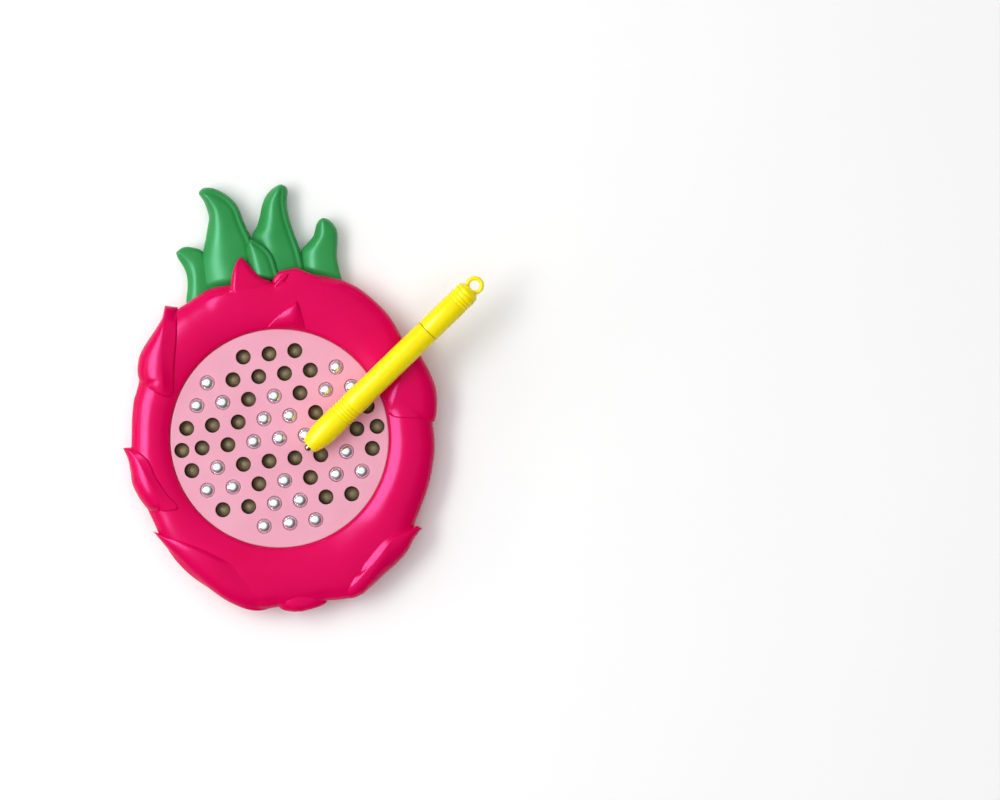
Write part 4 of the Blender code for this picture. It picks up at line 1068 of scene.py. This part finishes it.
def eyelet_shape():
    """The ring at the pen's end, upright on its axis."""
    ring = bmesh.new()
    upright = Matrix.Rotation(math.pi / 2, 3, "X")
    loop = bmesh.ops.create_circle(ring, segments=EYELET_WIRE_STEPS, radius=EYELET_WIRE)["verts"]
    bmesh.ops.translate(ring, verts=loop, vec=(EYELET_RADIUS, 0, 0))
    bmesh.ops.rotate(ring, verts=loop, cent=(EYELET_RADIUS, 0, 0), matrix=upright)
    wire = loop + ring.edges[:]
    bmesh.ops.spin(
        ring, geom=wire, cent=(0, 0, 0), axis=(0, 0, 1), angle=math.tau, steps=EYELET_STEPS, use_merge=True
    )
    bmesh.ops.recalc_face_normals(ring, faces=ring.faces)
    bmesh.ops.rotate(ring, verts=ring.verts, cent=(0, 0, 0), matrix=upright)
    move(ring, 0, 0, EYELET_PLACE)
    return ring


def make_pen(plastic, point_steel, zinc):
    pen_piece("pen_lower", lower_barrel_shape(), "pen_barrel", plastic)
    pen_piece("pen_upper", upper_barrel_shape(), "pen_upper_barrel", plastic)
    plug = spun(rounded(PLUG), PEN_STEPS)
    add_shape(plug, eyelet_shape())
    pen_piece("pen_plug", plug, "pen_end_plug", plastic)
    pen_piece("pen_point", spun(rounded(POINT), POINT_STEPS), "pen_tip", point_steel)
    pen_piece("pen_bar_magnet", spun(rounded(MAGNET), POINT_STEPS), "pen_magnet", zinc)


def make_screws(material):
    for number, (x, y) in enumerate(screw_places(), start=1):
        shape = spun(rounded(SCREW_PROFILE, steps=4), SCREW_STEPS)
        move(shape, x, y, 0)
        obj = new_object("screw_%d" % number, shape, material)
        for turn in (0.0, math.pi / 2):
            bar = bmesh.new()
            spin = Matrix.Rotation(turn + CROSS_TURN * number, 3, "Z")
            bmesh.ops.create_cube(bar, size=1.0)
            bmesh.ops.scale(bar, vec=CROSS_BAR, verts=bar.verts)
            bmesh.ops.rotate(bar, verts=bar.verts, matrix=spin)
            move(bar, x, y, CROSS_HEIGHT)
            cut(obj, bar)
        finish_cut(obj, material, CRISP_ANGLE)
        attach(obj, "case")
        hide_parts("case_screw_%d" % number)


def linear(colour):
    """A colour of 0 to 255 as the linear values that a shader takes."""
    values = [channel / 255 for channel in colour]
    return [v / 12.92 if v <= 0.04045 else ((v + 0.055) / 1.055) ** 2.4 for v in values] + [1.0]


def fill(node, values):
    """Sets a node's sockets."""
    for socket, value in values.items():
        node.inputs[socket].default_value = value


def moulded_grain_group():
    """Slow clouding of the colour, and a fine grain for roughness and relief."""
    group = bpy.data.node_groups.new("moulded_grain", "ShaderNodeTree")
    for way, names in (("INPUT", GRAIN_INPUTS), ("OUTPUT", GRAIN_OUTPUTS)):
        for name in names:
            kind = "NodeSocketColor" if "Colour" in name else "NodeSocketFloat"
            group.interface.new_socket(name, in_out=way, socket_type=kind)
    nodes, links = group.nodes, group.links
    inputs = nodes.new("NodeGroupInput")
    outputs = nodes.new("NodeGroupOutput")
    where = nodes.new("ShaderNodeTexCoord")

    def noise(scale, detail, low, high):
        """A noise, and its middle values spread out."""
        texture = nodes.new("ShaderNodeTexNoise")
        fill(texture, {"Detail": detail})
        links.new(where.outputs["Object"], texture.inputs["Vector"])
        links.new(inputs.outputs[scale], texture.inputs["Scale"])
        spread = nodes.new("ShaderNodeMapRange")
        fill(spread, {"From Min": low, "From Max": high})
        links.new(texture.outputs["Fac"], spread.inputs["Value"])
        return texture, spread

    _, soft = noise("Cloud Scale", detail=2.0, low=0.35, high=0.65)
    mix = nodes.new("ShaderNodeMix")
    mix.data_type = "RGBA"
    links.new(soft.outputs["Result"], mix.inputs["Factor"])
    links.new(inputs.outputs["Colour"], mix.inputs["A"])
    links.new(inputs.outputs["Cloud Colour"], mix.inputs["B"])
    links.new(mix.outputs["Result"], outputs.inputs["Colour"])
    grain, rough = noise("Grain Scale", detail=3.0, low=0.3, high=0.7)
    links.new(inputs.outputs["Roughness Low"], rough.inputs["To Min"])
    links.new(inputs.outputs["Roughness High"], rough.inputs["To Max"])
    links.new(rough.outputs["Result"], outputs.inputs["Roughness"])
    links.new(grain.outputs["Fac"], outputs.inputs["Height"])
    return group


def surface_material(group, name, colours, scales, roughness, strength, sockets):
    """A moulded or turned surface with a little life in its colour, gloss and relief."""
    material = bpy.data.materials.new(name)
    material.use_nodes = True
    nodes, links = material.node_tree.nodes, material.node_tree.links
    shader = nodes["Principled BSDF"]
    grain = nodes.new("ShaderNodeGroup")
    grain.node_tree = group
    settings = [linear(colour) for colour in colours] + [*scales, *roughness]
    fill(grain, dict(zip(GRAIN_INPUTS, settings)))
    links.new(grain.outputs["Colour"], shader.inputs["Base Color"])
    links.new(grain.outputs["Roughness"], shader.inputs["Roughness"])
    relief = nodes.new("ShaderNodeBump")
    fill(relief, {"Strength": strength, "Distance": RELIEF_DEPTH})
    links.new(grain.outputs["Height"], relief.inputs["Height"])
    links.new(relief.outputs["Normal"], shader.inputs["Normal"])
    fill(shader, sockets)
    return material


def make_materials():
    group = moulded_grain_group()
    return {name: surface_material(group, name, *values) for name, values in FINISHES.items()}


def area_light(name, location, size, energy):
    """A soft oval light aimed at the board, its place and size in metres."""
    light = bpy.data.lights.new(name, "AREA")
    light.shape = "ELLIPSE"
    light.size, light.size_y = size
    light.energy = energy
    obj = bpy.data.objects.new(name, light)
    bpy.context.scene.collection.objects.link(obj)
    obj.location = location
    obj.rotation_euler = (-Vector(location)).to_track_quat("-Z", "Y").to_euler()
    return obj


def sky_band(nodes, links, where, towards, reach, strength):
    """Brightness that grows towards one direction of the sky."""
    lean = nodes.new("ShaderNodeVectorMath")
    lean.operation = "DOT_PRODUCT"
    lean.inputs[1].default_value = Vector(towards).normalized()
    links.new(where.outputs["Generated"], lean.inputs[0])
    shade = nodes.new("ShaderNodeMapRange")
    shade.interpolation_type = "SMOOTHSTEP"
    fill(shade, dict(zip(("From Min", "From Max", "To Min", "To Max"), reach + strength)))
    links.new(lean.outputs["Value"], shade.inputs["Value"])
    return shade


def make_studio(material):
    shape = bmesh.new()
    bmesh.ops.create_grid(shape, x_segments=1, y_segments=1, size=FLOOR_SIZE)
    move(shape, 0, 0, -FLOOR_DROP)
    floor = new_object("floor", shape, material)
    world = bpy.data.worlds.new("studio")
    world.use_nodes = True
    nodes, links = world.node_tree.nodes, world.node_tree.links
    where = nodes.new("ShaderNodeTexCoord")
    walls = sky_band(nodes, links, where, *SKY_WALLS)
    ceiling = sky_band(nodes, links, where, *SKY_CEILING)
    both = nodes.new("ShaderNodeMath")
    links.new(walls.outputs["Result"], both.inputs[0])
    links.new(ceiling.outputs["Result"], both.inputs[1])
    links.new(both.outputs["Value"], nodes["Background"].inputs["Color"])
    nodes["Background"].inputs["Strength"].default_value = SKY_STRENGTH
    bpy.context.scene.world = world
    area_light("window", location=(-0.50, 0.18, 0.80), size=(0.80, 0.30), energy=3.3)
    area_light("side_strip", location=(-0.86, 0.10, 0.34), size=(0.80, 0.12), energy=1.0)
    # Seen in reflections alone, for the soft streaks on the plastic
    glint = area_light("window_glint", location=(-0.58, 0.18, 0.75), size=(0.90, 0.50), energy=24.0)
    glint.visible_diffuse = False
    bpy.context.scene.view_settings.view_transform = "Standard"


def make_camera():
    data = bpy.data.cameras.new("camera")
    data.lens = LENS
    data.sensor_width = SENSOR_WIDTH
    data.clip_start = CLIP_START
    camera = bpy.data.objects.new("camera", data)
    bpy.context.scene.collection.objects.link(camera)
    camera.location = (VIEW_CENTRE[0] * MM, VIEW_CENTRE[1] * MM, VIEW_HEIGHT * MM)
    camera.rotation_euler = (0.0, 0.0, -VIEW_ROLL)
    bpy.context.scene.camera = camera


make_camera()
finish = make_materials()
make_casing_front(finish["magenta_plastic"])
make_casing_rear(finish["magenta_plastic"])
make_leaf_half("leaves_front", 1, "leaf_crown_front", finish["green_plastic"])
make_leaf_half("leaves_rear", -1, "leaf_crown_rear", finish["green_plastic"])
make_panel(finish["pink_plastic"])
make_cells(finish["dark_cell_plastic_and_painted_shade"])
make_backing(finish["dark_cell_plastic_and_painted_shade"], finish["shade_painted_ball_steel"])
make_raised_balls(finish["polished_steel"])
make_pen(finish["yellow_plastic"], finish["shade_painted_point_steel"], finish["zinc_plate"])
make_screws(finish["zinc_plate"])
make_studio(finish["pale_floor"])
